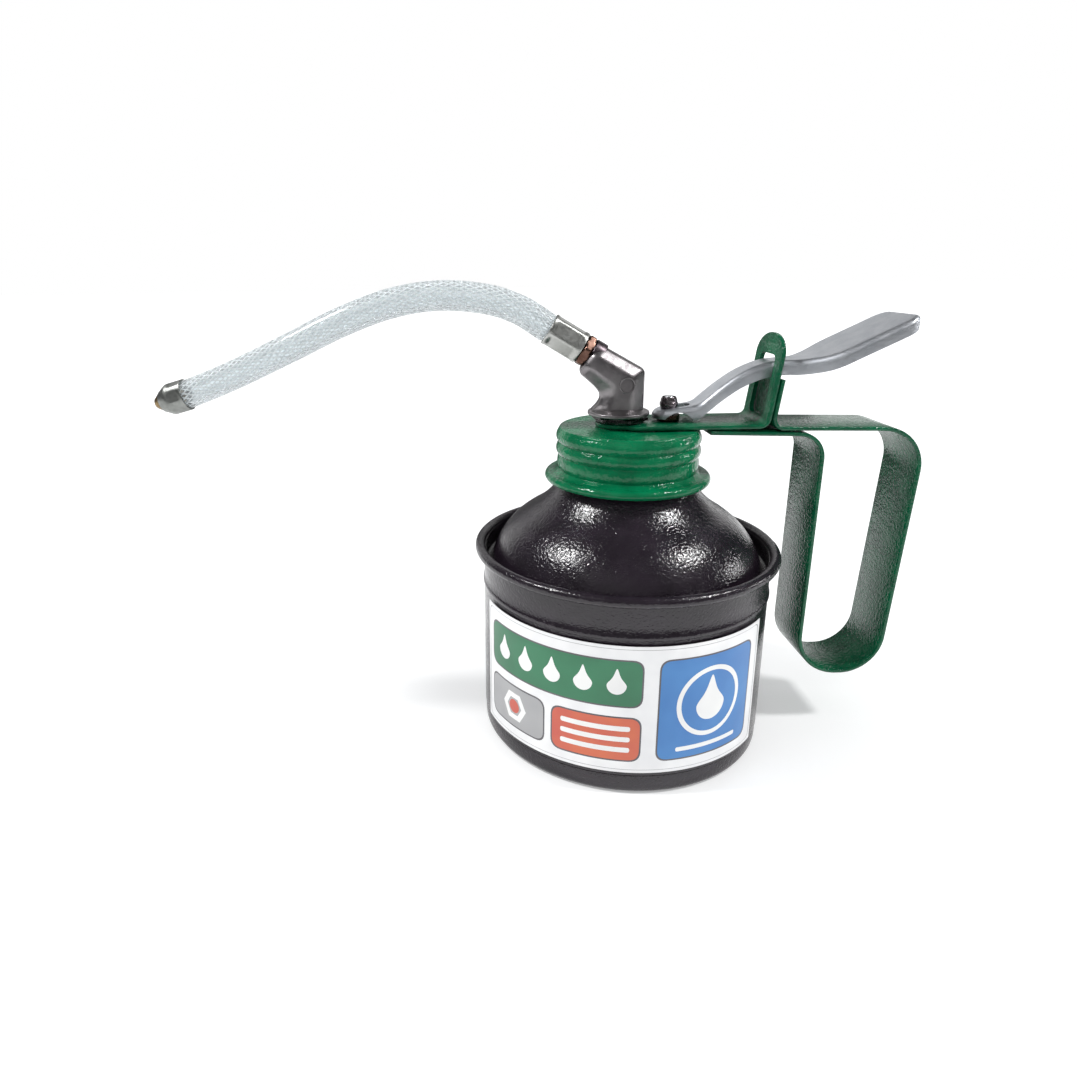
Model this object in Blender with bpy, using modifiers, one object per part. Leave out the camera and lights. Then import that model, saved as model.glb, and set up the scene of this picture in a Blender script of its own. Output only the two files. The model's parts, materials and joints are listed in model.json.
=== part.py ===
"""Hand oil dispenser: a tin with a screw cap that carries a lever pump, a strip handle and a hose spout.

The tin stands on the XY plane with its axis on +Z. The handle points to +X and the spout to -X.
Sizes are in millimetres, and MM turns them into metres.
"""

import math

import bmesh
import bpy
import numpy as np
from mathutils import Matrix, Vector

MM = 0.001
CAN_STEPS = 36
SMALL_STEPS = 16
MERGE = 0.00005

# Clearances
FIT = 0.3
PASSING_GAP = 1.1
OVERCUT = 1.0

# Tin
SHEET = 0.5
BODY_R = 42.4
BODY_FOOT_Z = 6.0
RIM_Z = 57.5
CURL_R = 1.6
BEAD_Z = 47.0
BEAD_W = 1.8
BEAD_RISE = 0.35
BASE_CORNER_R = 2.0
BASE_INSET = 0.2
BASE_FLANGE_H = 4.0
LABEL_LOW = 7.2
LABEL_HIGH = 44.9
LABEL_T = 0.2
LABEL_START = math.radians(-165.0)
LABEL_END = math.radians(-41.0)
LABEL_STEPS = 16

# Shoulder and neck
TROUGH_DROP = 5.0
TROUGH_W = 0.8
DOME_TOP_R = 28.4
DOME_TOP_RISE = 11.2
DOME_BULGE = 2.2
NECK_ROOT_RISE = 22.0
NECK_BULGE = 1.1
NECK_RISE = 33.5

# Screw cap
CAP_SHEET = 0.6
CAP_R = 20.85
CAP_BEAD_RISE = 0.75
CAP_RELIEF = 0.3
CAP_PITCH = 3.7
CAP_BEADS = 2
CAP_EDGE_DROP = 0.7
CAP_WAIST_H = 4.1
CAP_FLARE_H = 3.6
CAP_LIP_R = 24.0
CAP_LIP_ROLL = 1.3
THREAD_RISE = 0.6
THREAD_HALF_H = 1.0
GASKET_T = 1.4
HEAD_GASKET_T = 0.8

# Strips
STRIP_W = 19.0
STRIP_T = 1.2
GUIDE_REACH = 37.4
GUIDE_LEAN = math.radians(7.4)
GUIDE_H = 24.7
GUIDE_TOP_ROUND = 6.0
GUIDE_BEND_R = 2.5
GUIDE_EYE_R = 7.0
GUIDE_SHOULDER = 4.3
GUIDE_SLOT_LOW = 1.5
GUIDE_SLOT_HIGH = 18.9
SLOT_CLEARANCE = 0.5
SLOT_CORNER_R = 2.0
UPRIGHT_H = 12.5
UPRIGHT_BEND_R = 3.0
GRIP_TOP_R = 11.9
GRIP_LEG_GAP = 8.7
GRIP_DEPTH = 78.4
GRIP_TOP_W = 29.2
GRIP_FOOT_W = 25.0
GRIP_FOOT_R = 12.2
GRIP_TOP_SAG = 1.0
RETURN_BEND_R = 7.4
RETURN_SAG = 1.1
RETURN_START = 0.6

# Lever
LEVER_HALF_W = 4.8
PADDLE_HALF_W = 10.8
LEVER_SHEET = 1.1
LEVER_DEPTH = 4.1
LEVER_EDGE_R = 1.0
LEVER_NOSE = 4.7
NOSE_EDGE_RISE = 2.2
NOSE_TOP = 3.2
PADDLE_REACH = 37.2
PADDLE_TOP = 17.6
PADDLE_START = 1.5
PADDLE_FULL = 18.3
PADDLE_CORNER_R = 4.5
ROD_SLOT_HALF_W = 2.2
ROD_SLOT_FRONT = 2.3
ROD_SLOT_BACK = 6.1
ARCH_R = 4.8
ARCH_SHIFT = 1.9
ARCH_DROP = 1.8
RIDGE_AHEAD = (
    (-LEVER_NOSE, NOSE_TOP),
    (1.5, 4.1),
    (7.1, 5.0),
    (10.0, 7.1),
    (13.5, 10.0),
    (18.5, 13.5),
)
RIDGE_BEHIND = (
    (-5.5, 3.3),
    (-1.5, 4.4),
    (2.5, 4.8),
    (6.0, 4.9),
    (10.0, 5.6),
    (14.0, 6.8),
    (20.0, 9.6),
    (28.0, 13.3),
    (PADDLE_REACH, PADDLE_TOP),
)

# Pump
PORT_SPACING = 14.1
BARREL_R = 5.5
BARREL_WALL = 0.6
BARREL_L = 43.5
HEAD_MARGIN = 0.5
HEAD_H = 7.6
SPIGOT_L = 5.2
ROD_R = 1.5
ROD_END = 1.8
GLAND_R = 2.9
GLAND_HEAD_R = 3.3
GLAND_HEAD_H = 1.6
GLAND_DEPTH = 3.0
PACKING_H = 1.5
GLAND_FLOOR = 0.7
PASSAGE_R = 1.2
PASSAGE_RISE = 2.1
PORT_R = 1.5
SOCKET_DEPTH = 2.9
BALL_HEAD_R = 2.6
BALL_HEAD_FLATNESS = 0.75
PISTON_H = 3.0
CUP_H = 2.5
CUP_WALL = 0.8
PISTON_NUT_H = 2.0
PISTON_NUT_R = 3.0
PISTON_LIFT_OFF = 1.1
SPRING_WIRE = 0.8
SPRING_TURNS = 7
INLET_BALL_R = 2.0
INLET_PORT_R = 1.4
INLET_SEAT_RISE = 0.3
INLET_CAGE_GAP = 0.4
FOOT_PLUG_H = 6.9
FOOT_FLANGE_H = 1.7
FOOT_NECK_R = 3.6
FOOT_NECK_H = 4.7
PIN_R = 0.45
PIN_RISE = 5.7
TUBE_R = 2.5
TUBE_WALL = 0.6
TUBE_SOCKET = 4.3
TUBE_FOOT_GAP = 3.5

# Elbow
STEM_R = 4.0
OUTLET_BALL_R = 2.1
OUTLET_CAGE_GAP = 0.5
OUTLET_CAGE_H = 8.0
OUTLET_WIRE = 0.5
OUTLET_TURNS = 3.5
OUTLET_COIL_R = 1.7
NUT_FLATS = 14.0
NUT_H = 1.5
ELBOW_FLANGE_R = 8.8
ELBOW_FLANGE_H = 1.2
ELBOW_TURN = math.radians(6.0)
ELBOW_RISE = math.radians(35.5)
ELBOW_HALF_W = 5.7
ELBOW_HALF_H = 5.1
ELBOW_BACK = 6.4
ELBOW_LEG_BACK = 4.9
ELBOW_CORNER_RISE = 11.75
ELBOW_LEG = 10.6
ELBOW_WEB_REACH = 8.2
ELBOW_WEB_H = 3.4
ELBOW_BORE_R = 2.0
LEG_BORE_R = 1.9
BOSS_R = 4.8
BOSS_L = 1.4
BOSS_ROOT = 2.0
SPOUT_RISE = math.radians(31.0)
SPOUT_OFFSET = 1.2

# Hose and its fittings
NIPPLE_FLATS = 8.6
NIPPLE_HEX_L = 2.2
NIPPLE_THREAD_R = 2.9
NIPPLE_THREAD_L = 4.0
BARB_R = 2.2
BARB_L = 9.0
BARB_BORE_R = 1.3
BARB_POINT = 1.5
HOSE_R = 4.25
HOSE_BORE_R = 2.5
HOSE_CRIMPED_R = 3.85
CRIMP_RUNOUT = 0.8
FERRULE_R = 4.65
FERRULE_L = 10.7
FERRULE_BASE = 0.6
TIP_DROP = math.radians(16.0)
TIP_TURN = math.radians(5.0)
TIP_L = 7.6
TIP_NOSE_R = 2.7
TIP_POINT_R = 1.5
TIP_NOSE_L = 1.1
TIP_TAPER_L = 1.6
TIP_FACE_R = 3.3
TIP_ORIFICE_R = 0.8
HOSE_ROUTE = (
    (-8.6, 0.7, 5.35),
    (-18.6, 1.0, 8.55),
    (-32.0, 1.4, 9.55),
    (-45.4, 1.9, 7.35),
    (-59.2, 2.6, 2.35),
    (-73.4, 3.6, -4.25),
    (-88.1, 5.0, -10.95),
    (-97.6, 5.8, -14.85),
    (-106.4, 6.5, -18.05),
)

# Places worked out from the sizes
RIM_R = BODY_R + CURL_R - SHEET
RIM_OUTER_R = RIM_R + CURL_R
NECK_TOP = RIM_Z + NECK_RISE
CAP_UNDER = NECK_TOP + FIT + GASKET_T + FIT
CAP_TOP = CAP_UNDER + CAP_SHEET
CAP_GROOVE_R = CAP_R - CAP_BEAD_RISE
THREAD_CREST = CAP_GROOVE_R - CAP_SHEET - FIT
NECK_R = THREAD_CREST - THREAD_RISE
DECK = CAP_TOP + FIT + STRIP_T
BORE_R = BARREL_R - BARREL_WALL
HEAD_R = BARREL_R + HEAD_MARGIN
PUMP_X = NECK_R - SHEET - BARREL_R - PASSING_GAP
ELBOW_X = PUMP_X - PORT_SPACING
HEAD_TOP = CAP_UNDER - FIT - HEAD_GASKET_T - FIT
HEAD_BOTTOM = HEAD_TOP - HEAD_H
SOCKET_FLOOR = HEAD_TOP - SOCKET_DEPTH
GLAND_SEAT = HEAD_TOP - GLAND_DEPTH
BARREL_TOP = HEAD_BOTTOM - FIT
BARREL_BOTTOM = BARREL_TOP - BARREL_L
INLET_SEAT = BARREL_BOTTOM + INLET_SEAT_RISE
FOOT_TOP = BARREL_BOTTOM - FIT + FOOT_PLUG_H
PISTON_NUT_Z = FOOT_TOP + PISTON_LIFT_OFF
CUP_Z = PISTON_NUT_Z + PISTON_NUT_H + FIT
PISTON_Z = CUP_Z + CUP_H + FIT
SPIGOT_FOOT = HEAD_BOTTOM - SPIGOT_L
FLANGE_Z = DECK + FIT + NUT_H + FIT
FULCRUM_Z = DECK + UPRIGHT_H
HANDLE_SHIFT = (STRIP_T + FIT) / math.cos(GUIDE_LEAN)
FULCRUM_X = GUIDE_REACH + HANDLE_SHIFT + (UPRIGHT_H + STRIP_T / 2) * math.tan(GUIDE_LEAN) - STRIP_T / 4

# Finishes: colour, roughness, metallic
BLACK_PAINT = ((0.012, 0.010, 0.012), 0.35, 0.0)
GREEN_PAINT = ((0.006, 0.16, 0.075), 0.32, 0.0)
PRINTED_FILM = ((0.78, 0.79, 0.79), 0.4, 0.0)
CAST_ZINC = ((0.42, 0.40, 0.39), 0.35, 1.0)
PLATED_STEEL = ((0.60, 0.61, 0.63), 0.32, 1.0)
DARK_STEEL = ((0.12, 0.12, 0.13), 0.4, 1.0)
BRASS = ((0.60, 0.42, 0.20), 0.35, 1.0)
ALUMINIUM = ((0.66, 0.66, 0.66), 0.4, 1.0)
CLEAR_HOSE = ((0.82, 0.86, 0.88), 0.2, 0.0)
RUBBER = ((0.03, 0.03, 0.03), 0.7, 0.0)
NYLON = ((0.75, 0.73, 0.68), 0.5, 0.0)


def clear_scene():
    for item in list(bpy.data.objects):
        bpy.data.objects.remove(item, do_unlink=True)


def new_group(name):
    group = bpy.data.collections.new(name)
    bpy.context.scene.collection.children.link(group)
    return group


clear_scene()
PARTS = new_group("oil_dispenser")
CUTTERS = new_group("cutters")


def add(name, mesh, group):
    """Put a mesh in the scene; a cutter is drawn as wire and isn't rendered."""
    item = bpy.data.objects.new(name, mesh)
    group.objects.link(item)
    if group is CUTTERS:
        item.hide_render = True
        item.display_type = "WIRE"
    return item


def finish(piece, look):
    """Give a piece its own material."""
    colour, roughness, metallic = look
    material = bpy.data.materials.new(piece.name + "_finish")
    material.use_nodes = True
    shader = material.node_tree.nodes["Principled BSDF"]
    shader.inputs["Base Color"].default_value = (*colour, 1.0)
    shader.inputs["Roughness"].default_value = roughness
    shader.inputs["Metallic"].default_value = metallic
    piece.data.materials.append(material)
    return piece


def boolean(piece, tool, operation):
    step = piece.modifiers.new(tool.name, "BOOLEAN")
    step.object = tool
    step.operation = operation
    step.solver = "EXACT"


def turned(name, profile, group, steps=SMALL_STEPS, ring=True, wall=0.0):
    """Turn a profile of (radius, height) points; a ring closes it, a wall thickens it inwards."""
    mesh = bpy.data.meshes.new(name)
    last = len(profile) - 1
    edges = [(index, index + 1) for index in range(last)]
    if ring:
        edges.append((last, 0))
    mesh.from_pydata([(radius * MM, 0.0, height * MM) for radius, height in profile], edges, [])
    piece = add(name, mesh, group)
    screw = piece.modifiers.new("turn", "SCREW")
    screw.steps = steps
    screw.render_steps = steps
    screw.use_merge_vertices = True
    screw.merge_threshold = MERGE
    if wall:
        shell = piece.modifiers.new("wall", "SOLIDIFY")
        shell.thickness = wall * MM
        shell.offset = -1.0
        shell.use_even_offset = True
    return piece


def bar(name, radius, start, end, group, sides=SMALL_STEPS):
    """A round or many-sided bar between two points."""
    low = Vector(start) * MM
    high = Vector(end) * MM
    mesh = bpy.data.meshes.new(name)
    shape = bmesh.new()
    bmesh.ops.create_cone(
        shape, cap_ends=True, segments=sides,
        radius1=radius * MM, radius2=radius * MM, depth=(high - low).length,
    )
    shape.to_mesh(mesh)
    shape.free()
    piece = add(name, mesh, group)
    piece.location = (low + high) / 2
    piece.rotation_euler = (high - low).to_track_quat("Z", "Y").to_euler()
    return piece


def upright_bar(name, radius, x, low, high, group, sides=SMALL_STEPS):
    return bar(name, radius, (x, 0.0, low), (x, 0.0, high), group, sides)


def drill(piece, label, radius, start, end):
    boolean(piece, bar(piece.name + "_" + label, radius, start, end, CUTTERS), "DIFFERENCE")


def drill_down(piece, label, radius, x, low, high):
    drill(piece, label, radius, (x, 0.0, low), (x, 0.0, high))


def ball(name, radius, x, height, group, flatness=1.0):
    mesh = bpy.data.meshes.new(name)
    shape = bmesh.new()
    bmesh.ops.create_uvsphere(shape, u_segments=12, v_segments=8, radius=radius * MM)
    bmesh.ops.scale(shape, verts=shape.verts, vec=(1.0, 1.0, flatness))
    shape.to_mesh(mesh)
    shape.free()
    piece = add(name, mesh, group)
    piece.location = (x * MM, 0.0, height * MM)
    return piece


def box(name, low, high, group):
    """A block between two corners."""
    mesh = bpy.data.meshes.new(name)
    shape = bmesh.new()
    bmesh.ops.create_cube(shape, size=1.0)
    middle = (Vector(low) + Vector(high)) / 2 * MM
    span = (Vector(high) - Vector(low)) * MM
    bmesh.ops.transform(
        shape, verts=shape.verts, matrix=Matrix.Translation(middle) @ Matrix.Diagonal((*span, 1.0)),
    )
    shape.to_mesh(mesh)
    shape.free()
    return add(name, mesh, group)


def oblong(name, radius, start_x, end_x, low, high, group):
    """A plate with two round ends, from a filled curve between two heights."""
    curve = bpy.data.curves.new(name, "CURVE")
    curve.dimensions = "2D"
    curve.fill_mode = "BOTH"
    curve.extrude = (high - low) / 2 * MM
    count = SMALL_STEPS // 2
    half_turn = [math.pi * (step / count - 0.5) for step in range(count + 1)]
    outline = [(end_x + radius * math.cos(angle), radius * math.sin(angle)) for angle in half_turn]
    outline += [(start_x - radius * math.cos(angle), -radius * math.sin(angle)) for angle in half_turn]
    spline = curve.splines.new("POLY")
    spline.points.add(len(outline) - 1)
    spline.use_cyclic_u = True
    for point, (x, y) in zip(spline.points, outline):
        point.co = (x * MM, y * MM, 0.0, 1.0)
    drawn = add(name + "_outline", curve, CUTTERS)
    drawn.location.z = (low + high) / 2 * MM
    return as_mesh(name, drawn, group)


def as_mesh(name, drawn, group):
    """Turn a curve object into a welded mesh object in the same place."""
    bpy.context.view_layer.update()
    solid = drawn.evaluated_get(bpy.context.evaluated_depsgraph_get())
    mesh = bpy.data.meshes.new_from_object(solid)
    shape = bmesh.new()
    shape.from_mesh(mesh)
    bmesh.ops.remove_doubles(shape, verts=shape.verts, dist=MERGE / 10)
    shape.to_mesh(mesh)
    shape.free()
    piece = add(name, mesh, group)
    piece.matrix_world = drawn.matrix_world
    bpy.data.objects.remove(drawn)
    return piece


def wire(name, points, radius, resolution, group, swell=None):
    """A tube along points, with its radius scaled point by point where swell is given."""
    curve = bpy.data.curves.new(name, "CURVE")
    curve.dimensions = "3D"
    curve.bevel_depth = radius * MM
    curve.bevel_resolution = resolution
    curve.use_fill_caps = True
    spline = curve.splines.new("POLY")
    spline.points.add(len(points) - 1)
    for index, place in enumerate(points):
        spline.points[index].co = (*(Vector(place) * MM), 1.0)
        spline.points[index].radius = swell[index] if swell else 1.0
    return as_mesh(name, add(name + "_line", curve, CUTTERS), group)


def bow(start, end, rise, count):
    """Points of an arc from start to end that stands off the chord by rise, to its left."""
    (x0, y0), (x1, y1) = start, end
    chord = math.hypot(x1 - x0, y1 - y0)
    half = 2 * math.atan2(2 * abs(rise), chord)
    radius = chord / (2 * math.sin(half))
    side = math.copysign(1.0, rise)
    along = ((x1 - x0) / chord, (y1 - y0) / chord)
    left = (-along[1] * side, along[0] * side)
    points = []
    for step in range(count + 1):
        angle = half * (2 * step / count - 1)
        forward = chord / 2 + radius * math.sin(angle)
        away = radius * (math.cos(angle) - math.cos(half))
        points.append((x0 + along[0] * forward + left[0] * away, y0 + along[1] * forward + left[1] * away))
    return points


def arc(centre, radius, start, end, count):
    """Points of an arc about a centre, angles in degrees from the first axis."""
    angles = [math.radians(start + (end - start) * step / count) for step in range(count + 1)]
    return [(centre[0] + radius * math.cos(angle), centre[1] + radius * math.sin(angle)) for angle in angles]


def bent(corners, degrees_per_step=18.0):
    """A line through (x, z, bend radius) corners, each corner replaced by its arc."""
    points = [Vector(corners[0][:2])]
    for before, corner, after in zip(corners, corners[1:], corners[2:]):
        place = Vector(corner[:2])
        inward = (Vector(before[:2]) - place).normalized()
        outward = (Vector(after[:2]) - place).normalized()
        opening = inward.angle(outward)
        reach = corner[2] / math.tan(opening / 2)
        centre = place + (inward + outward).normalized() * (corner[2] / math.sin(opening / 2))
        first = place + inward * reach - centre
        turn = first.angle_signed(place + outward * reach - centre)
        count = max(2, round(math.degrees(abs(turn)) / degrees_per_step))
        points += [centre + Matrix.Rotation(-turn * step / count, 2) @ first for step in range(count + 1)]
    points.append(Vector(corners[-1][:2]))
    return [tuple(point) for point in points]


def ribbon(name, stations, thickness, group):
    """A bent strip: each station gives x, z and the half width there; the sheet lies evenly about it."""
    mesh = bpy.data.meshes.new(name)
    points = []
    for x, z, half in stations:
        points += [(x * MM, -half * MM, z * MM), (x * MM, half * MM, z * MM)]
    faces = [(2 * row, 2 * row + 2, 2 * row + 3, 2 * row + 1) for row in range(len(stations) - 1)]
    mesh.from_pydata(points, [], faces)
    piece = add(name, mesh, group)
    sheet = piece.modifiers.new("sheet", "SOLIDIFY")
    sheet.thickness = thickness * MM
    sheet.offset = 0.0
    sheet.use_even_offset = True
    return piece


def loft(name, rings, group):
    """Skin rings of equally many points, and close both ends."""
    mesh = bpy.data.meshes.new(name)
    count = len(rings[0])
    points = [tuple(Vector(point) * MM) for ring in rings for point in ring]
    faces = []
    for row in range(len(rings) - 1):
        for column in range(count):
            after = (column + 1) % count
            low = row * count
            faces.append((low + column, low + after, low + count + after, low + count + column))
    faces.append(tuple(reversed(range(count))))
    faces.append(tuple(range((len(rings) - 1) * count, len(rings) * count)))
    mesh.from_pydata(points, [], faces)
    shape = bmesh.new()
    shape.from_mesh(mesh)
    bmesh.ops.recalc_face_normals(shape, faces=shape.faces)
    shape.to_mesh(mesh)
    shape.free()
    return add(name, mesh, group)


def smooth_line(points, per_span):
    """A smooth curve through all the given points, with per_span steps between each two."""
    places = [Vector(point) for point in points]
    ends = [places[0] * 2 - places[1]] + places + [places[-1] * 2 - places[-2]]
    line = []
    for a, b, c, d in zip(ends, ends[1:], ends[2:], ends[3:]):
        for step in range(per_span):
            t = step / per_span
            line.append(
                b + (c - a) * (t / 2)
                + (a * 2 - b * 5 + c * 4 - d) * (t * t / 2)
                + (b * 3 - a - c * 3 + d) * (t ** 3 / 2)
            )
    line.append(places[-1])
    return line


def axis_frame(origin, direction):
    """A frame whose Z runs along a direction from an origin."""
    return Matrix.Translation(Vector(origin) * MM) @ direction.to_track_quat("Z", "Y").to_matrix().to_4x4()


def spring(name, coil_r, wire_d, turns, x, low, high, group):
    """A compression spring between two heights; its least gap to the next turn is printed."""
    per_turn = 8
    count = round(turns * per_turn)
    angles = [2 * math.pi * step / per_turn for step in range(count + 1)]
    foot = low + wire_d / 2
    rise = high - low - wire_d
    points = [
        (x + coil_r * math.cos(angle), coil_r * math.sin(angle), foot + rise * step / count)
        for step, angle in enumerate(angles)
    ]
    places = np.array(points)
    gaps = np.linalg.norm(places[per_turn:] - places[:-per_turn], axis=1) - wire_d
    print(name, "least gap between turns, mm:", round(float(gaps.min()), 2))
    return wire(name, points, wire_d / 2, 1, group)


def can_body():
    """Tin wall with a bead, and a rim curled outwards and down."""
    curl = arc((RIM_R, RIM_Z), CURL_R - SHEET, -60, 180, 6)
    bead = bow((BODY_R, BEAD_Z + BEAD_W / 2), (BODY_R, BEAD_Z - BEAD_W / 2), BEAD_RISE, 2)
    profile = curl + bead + [(BODY_R, BODY_FOOT_Z)]
    body = turned("can_body", profile, PARTS, CAN_STEPS, ring=False, wall=SHEET)
    return finish(body, BLACK_PAINT)


def can_base():
    """Pressed bottom: a flat disc with a round corner, a low band, and a flange inside the wall."""
    outer = BODY_R - BASE_INSET
    flange = BODY_R - SHEET - FIT
    band_top = BODY_FOOT_Z - FIT
    corner = arc((outer - BASE_CORNER_R, BASE_CORNER_R), BASE_CORNER_R, 0, -90, 3)
    profile = [(flange, band_top + BASE_FLANGE_H), (flange, band_top), (outer, band_top)]
    profile += corner + [(0.0, 0.0)]
    base = turned("can_base", profile, PARTS, CAN_STEPS, ring=False, wall=SHEET)
    return finish(base, BLACK_PAINT)


def label():
    """Printed film wrapped round the front of the wall."""
    middle = (BODY_R + FIT + LABEL_T / 2) * MM
    angles = np.linspace(LABEL_START, LABEL_END, LABEL_STEPS + 1)
    points = []
    for angle in angles:
        x = middle * math.cos(angle)
        y = middle * math.sin(angle)
        points += [(x, y, LABEL_LOW * MM), (x, y, LABEL_HIGH * MM)]
    faces = [(2 * row, 2 * row + 2, 2 * row + 3, 2 * row + 1) for row in range(LABEL_STEPS)]
    mesh = bpy.data.meshes.new("label")
    mesh.from_pydata(points, [], faces)
    film = add("label", mesh, PARTS)
    sheet = film.modifiers.new("film", "SOLIDIFY")
    sheet.thickness = LABEL_T * MM
    sheet.offset = 0.0
    return finish(film, PRINTED_FILM)


def can_shoulder():
    """Domed shoulder with a rolled thread on its neck and a wall that stands inside the rim."""
    wall_r = BODY_R - SHEET - FIT - SHEET
    trough_z = RIM_Z - TROUGH_DROP
    threads = []
    for turn in range(CAP_BEADS):
        middle = CAP_TOP - CAP_EDGE_DROP - (turn + 1.5) * CAP_PITCH
        threads += [(NECK_R, middle + THREAD_HALF_H), (THREAD_CREST, middle), (NECK_R, middle - THREAD_HALF_H)]
    root = RIM_Z + NECK_ROOT_RISE
    flare = bow((NECK_R, root), (DOME_TOP_R, RIM_Z + DOME_TOP_RISE), -NECK_BULGE, 3)
    dome = bow(flare[-1], (wall_r - TROUGH_W, trough_z), DOME_BULGE, 4)
    profile = [(NECK_R, NECK_TOP)] + threads + flare + dome[1:]
    profile += [(wall_r, trough_z), (wall_r, RIM_Z)]
    shoulder = turned("can_shoulder", profile, PARTS, CAN_STEPS, ring=False, wall=SHEET)
    return finish(shoulder, BLACK_PAINT)


def cap_gasket():
    inner = NECK_R - SHEET - FIT
    outer = CAP_GROOVE_R - CAP_SHEET - FIT
    low = NECK_TOP + FIT
    high = low + GASKET_T
    profile = [(outer, high), (outer, low), (inner, low), (inner, high)]
    return finish(turned("cap_gasket", profile, PARTS, CAN_STEPS), RUBBER)


def screw_cap():
    """Pressed cap: flat top, beaded skirt, flare and a rolled lip, with holes for the stem and gland."""
    groove = CAP_TOP - CAP_EDGE_DROP
    profile = [(0.0, CAP_TOP), (CAP_GROOVE_R - CAP_EDGE_DROP, CAP_TOP), (CAP_GROOVE_R, groove)]
    for _ in range(CAP_BEADS):
        profile += bow((CAP_GROOVE_R, groove), (CAP_GROOVE_R, groove - CAP_PITCH), CAP_BEAD_RISE, 4)[1:]
        groove -= CAP_PITCH
    waist = groove - CAP_WAIST_H
    roll_r = CAP_LIP_R - CAP_LIP_ROLL
    roll_z = waist - CAP_FLARE_H + CAP_LIP_ROLL
    profile += bow((CAP_GROOVE_R, groove), (CAP_GROOVE_R, waist), CAP_BEAD_RISE / 2, 2)[1:]
    profile += bow((CAP_GROOVE_R, waist), (roll_r, roll_z + CAP_LIP_ROLL), -CAP_RELIEF, 2)[1:]
    profile += arc((roll_r, roll_z), CAP_LIP_ROLL, 60, -140, 4)
    cap = turned("screw_cap", profile, PARTS, CAN_STEPS, ring=False, wall=CAP_SHEET)
    low = CAP_UNDER - CAP_SHEET
    high = CAP_TOP + CAP_SHEET
    drill_down(cap, "stem_hole", STEM_R + FIT, ELBOW_X, low, high)
    drill_down(cap, "gland_hole", GLAND_R + FIT, PUMP_X, low, high)
    return finish(cap, GREEN_PAINT)


def guide_x(height):
    """X of the guide upright's middle plane at a height."""
    return GUIDE_REACH + (height - DECK + STRIP_T / 2) * math.tan(GUIDE_LEAN)


def guide_strip():
    """Flat strip on the cap with an eye round the stem, turned up into the slotted lever guide."""
    half = STRIP_W / 2
    level = DECK - STRIP_T / 2
    top = DECK + GUIDE_H
    angles = [math.radians(angle) for angle in (15, 40, 65, 90)]
    eye = [(ELBOW_X - GUIDE_EYE_R * math.cos(a), level, GUIDE_EYE_R * math.sin(a)) for a in angles]
    shoulder = [(ELBOW_X + GUIDE_SHOULDER, level, half)]
    start = (ELBOW_X + GUIDE_EYE_R + half, level, 0.0)
    round_z = top - GUIDE_TOP_ROUND
    line = bent([start, (guide_x(level), level, GUIDE_BEND_R), (guide_x(round_z), round_z, 0.0)])
    middle = [(x, z, half) for x, z in line]
    crown = []
    for angle in (math.radians(a) for a in (25, 45, 62, 78)):
        height = round_z + GUIDE_TOP_ROUND * math.sin(angle)
        crown.append((guide_x(height), height, half * math.cos(angle)))
    strip = ribbon("guide_strip", eye + shoulder + middle + crown, STRIP_T, PARTS)
    slot_half = LEVER_HALF_W + SLOT_CLEARANCE
    slot = box(
        "guide_slot",
        (GUIDE_REACH - half, -slot_half, DECK + GUIDE_SLOT_LOW),
        (GUIDE_REACH + half, slot_half, DECK + GUIDE_SLOT_HIGH),
        CUTTERS,
    )
    rounding = slot.modifiers.new("corners", "BEVEL")
    rounding.width = SLOT_CORNER_R * MM
    rounding.segments = 2
    boolean(strip, slot, "DIFFERENCE")
    low = CAP_TOP
    high = DECK + STRIP_T
    drill_down(strip, "stem_hole", STEM_R + FIT, ELBOW_X, low, high)
    drill_down(strip, "gland_hole", GLAND_R + FIT, PUMP_X, low, high)
    return finish(strip, GREEN_PAINT)


def handle_strip():
    """Strip handle: up behind the guide, along, down round the grip, and back under the guide strip."""
    lower = CAP_TOP - STRIP_T / 2
    upper = lower - RETURN_SAG / 2 + STRIP_T + FIT
    front = RIM_OUTER_R + GRIP_LEG_GAP + STRIP_T / 2 - FIT
    foot = DECK - GRIP_DEPTH
    corners = [
        (guide_x(FULCRUM_Z) + HANDLE_SHIFT, FULCRUM_Z, 0.0),
        (guide_x(upper) + HANDLE_SHIFT, upper, UPRIGHT_BEND_R),
        (front + GRIP_TOP_W, upper - GRIP_TOP_SAG, GRIP_TOP_R),
        (front - STRIP_T / 2 + GRIP_FOOT_W, foot, GRIP_FOOT_R),
        (front - STRIP_T / 2, foot, GRIP_FOOT_R),
        (front, lower - RETURN_SAG, RETURN_BEND_R),
        (CAP_R + RETURN_START, lower, 0.0),
    ]
    half = STRIP_W / 2
    stations = [(x, z, half) for x, z in bent(corners)]
    return finish(ribbon("handle_strip", stations, STRIP_T, PARTS), GREEN_PAINT)


def lever_ridge():
    """Side line of the lever's top, as a function of x."""
    points = [(PUMP_X + x, DECK + z) for x, z in RIDGE_AHEAD]
    points += [(FULCRUM_X + x, FULCRUM_Z + z) for x, z in RIDGE_BEHIND]
    line = smooth_line([(x, z, 0.0) for x, z in points], 4)
    return lambda x: float(np.interp(x, [place[0] for place in line], [place[1] for place in line]))


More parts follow.
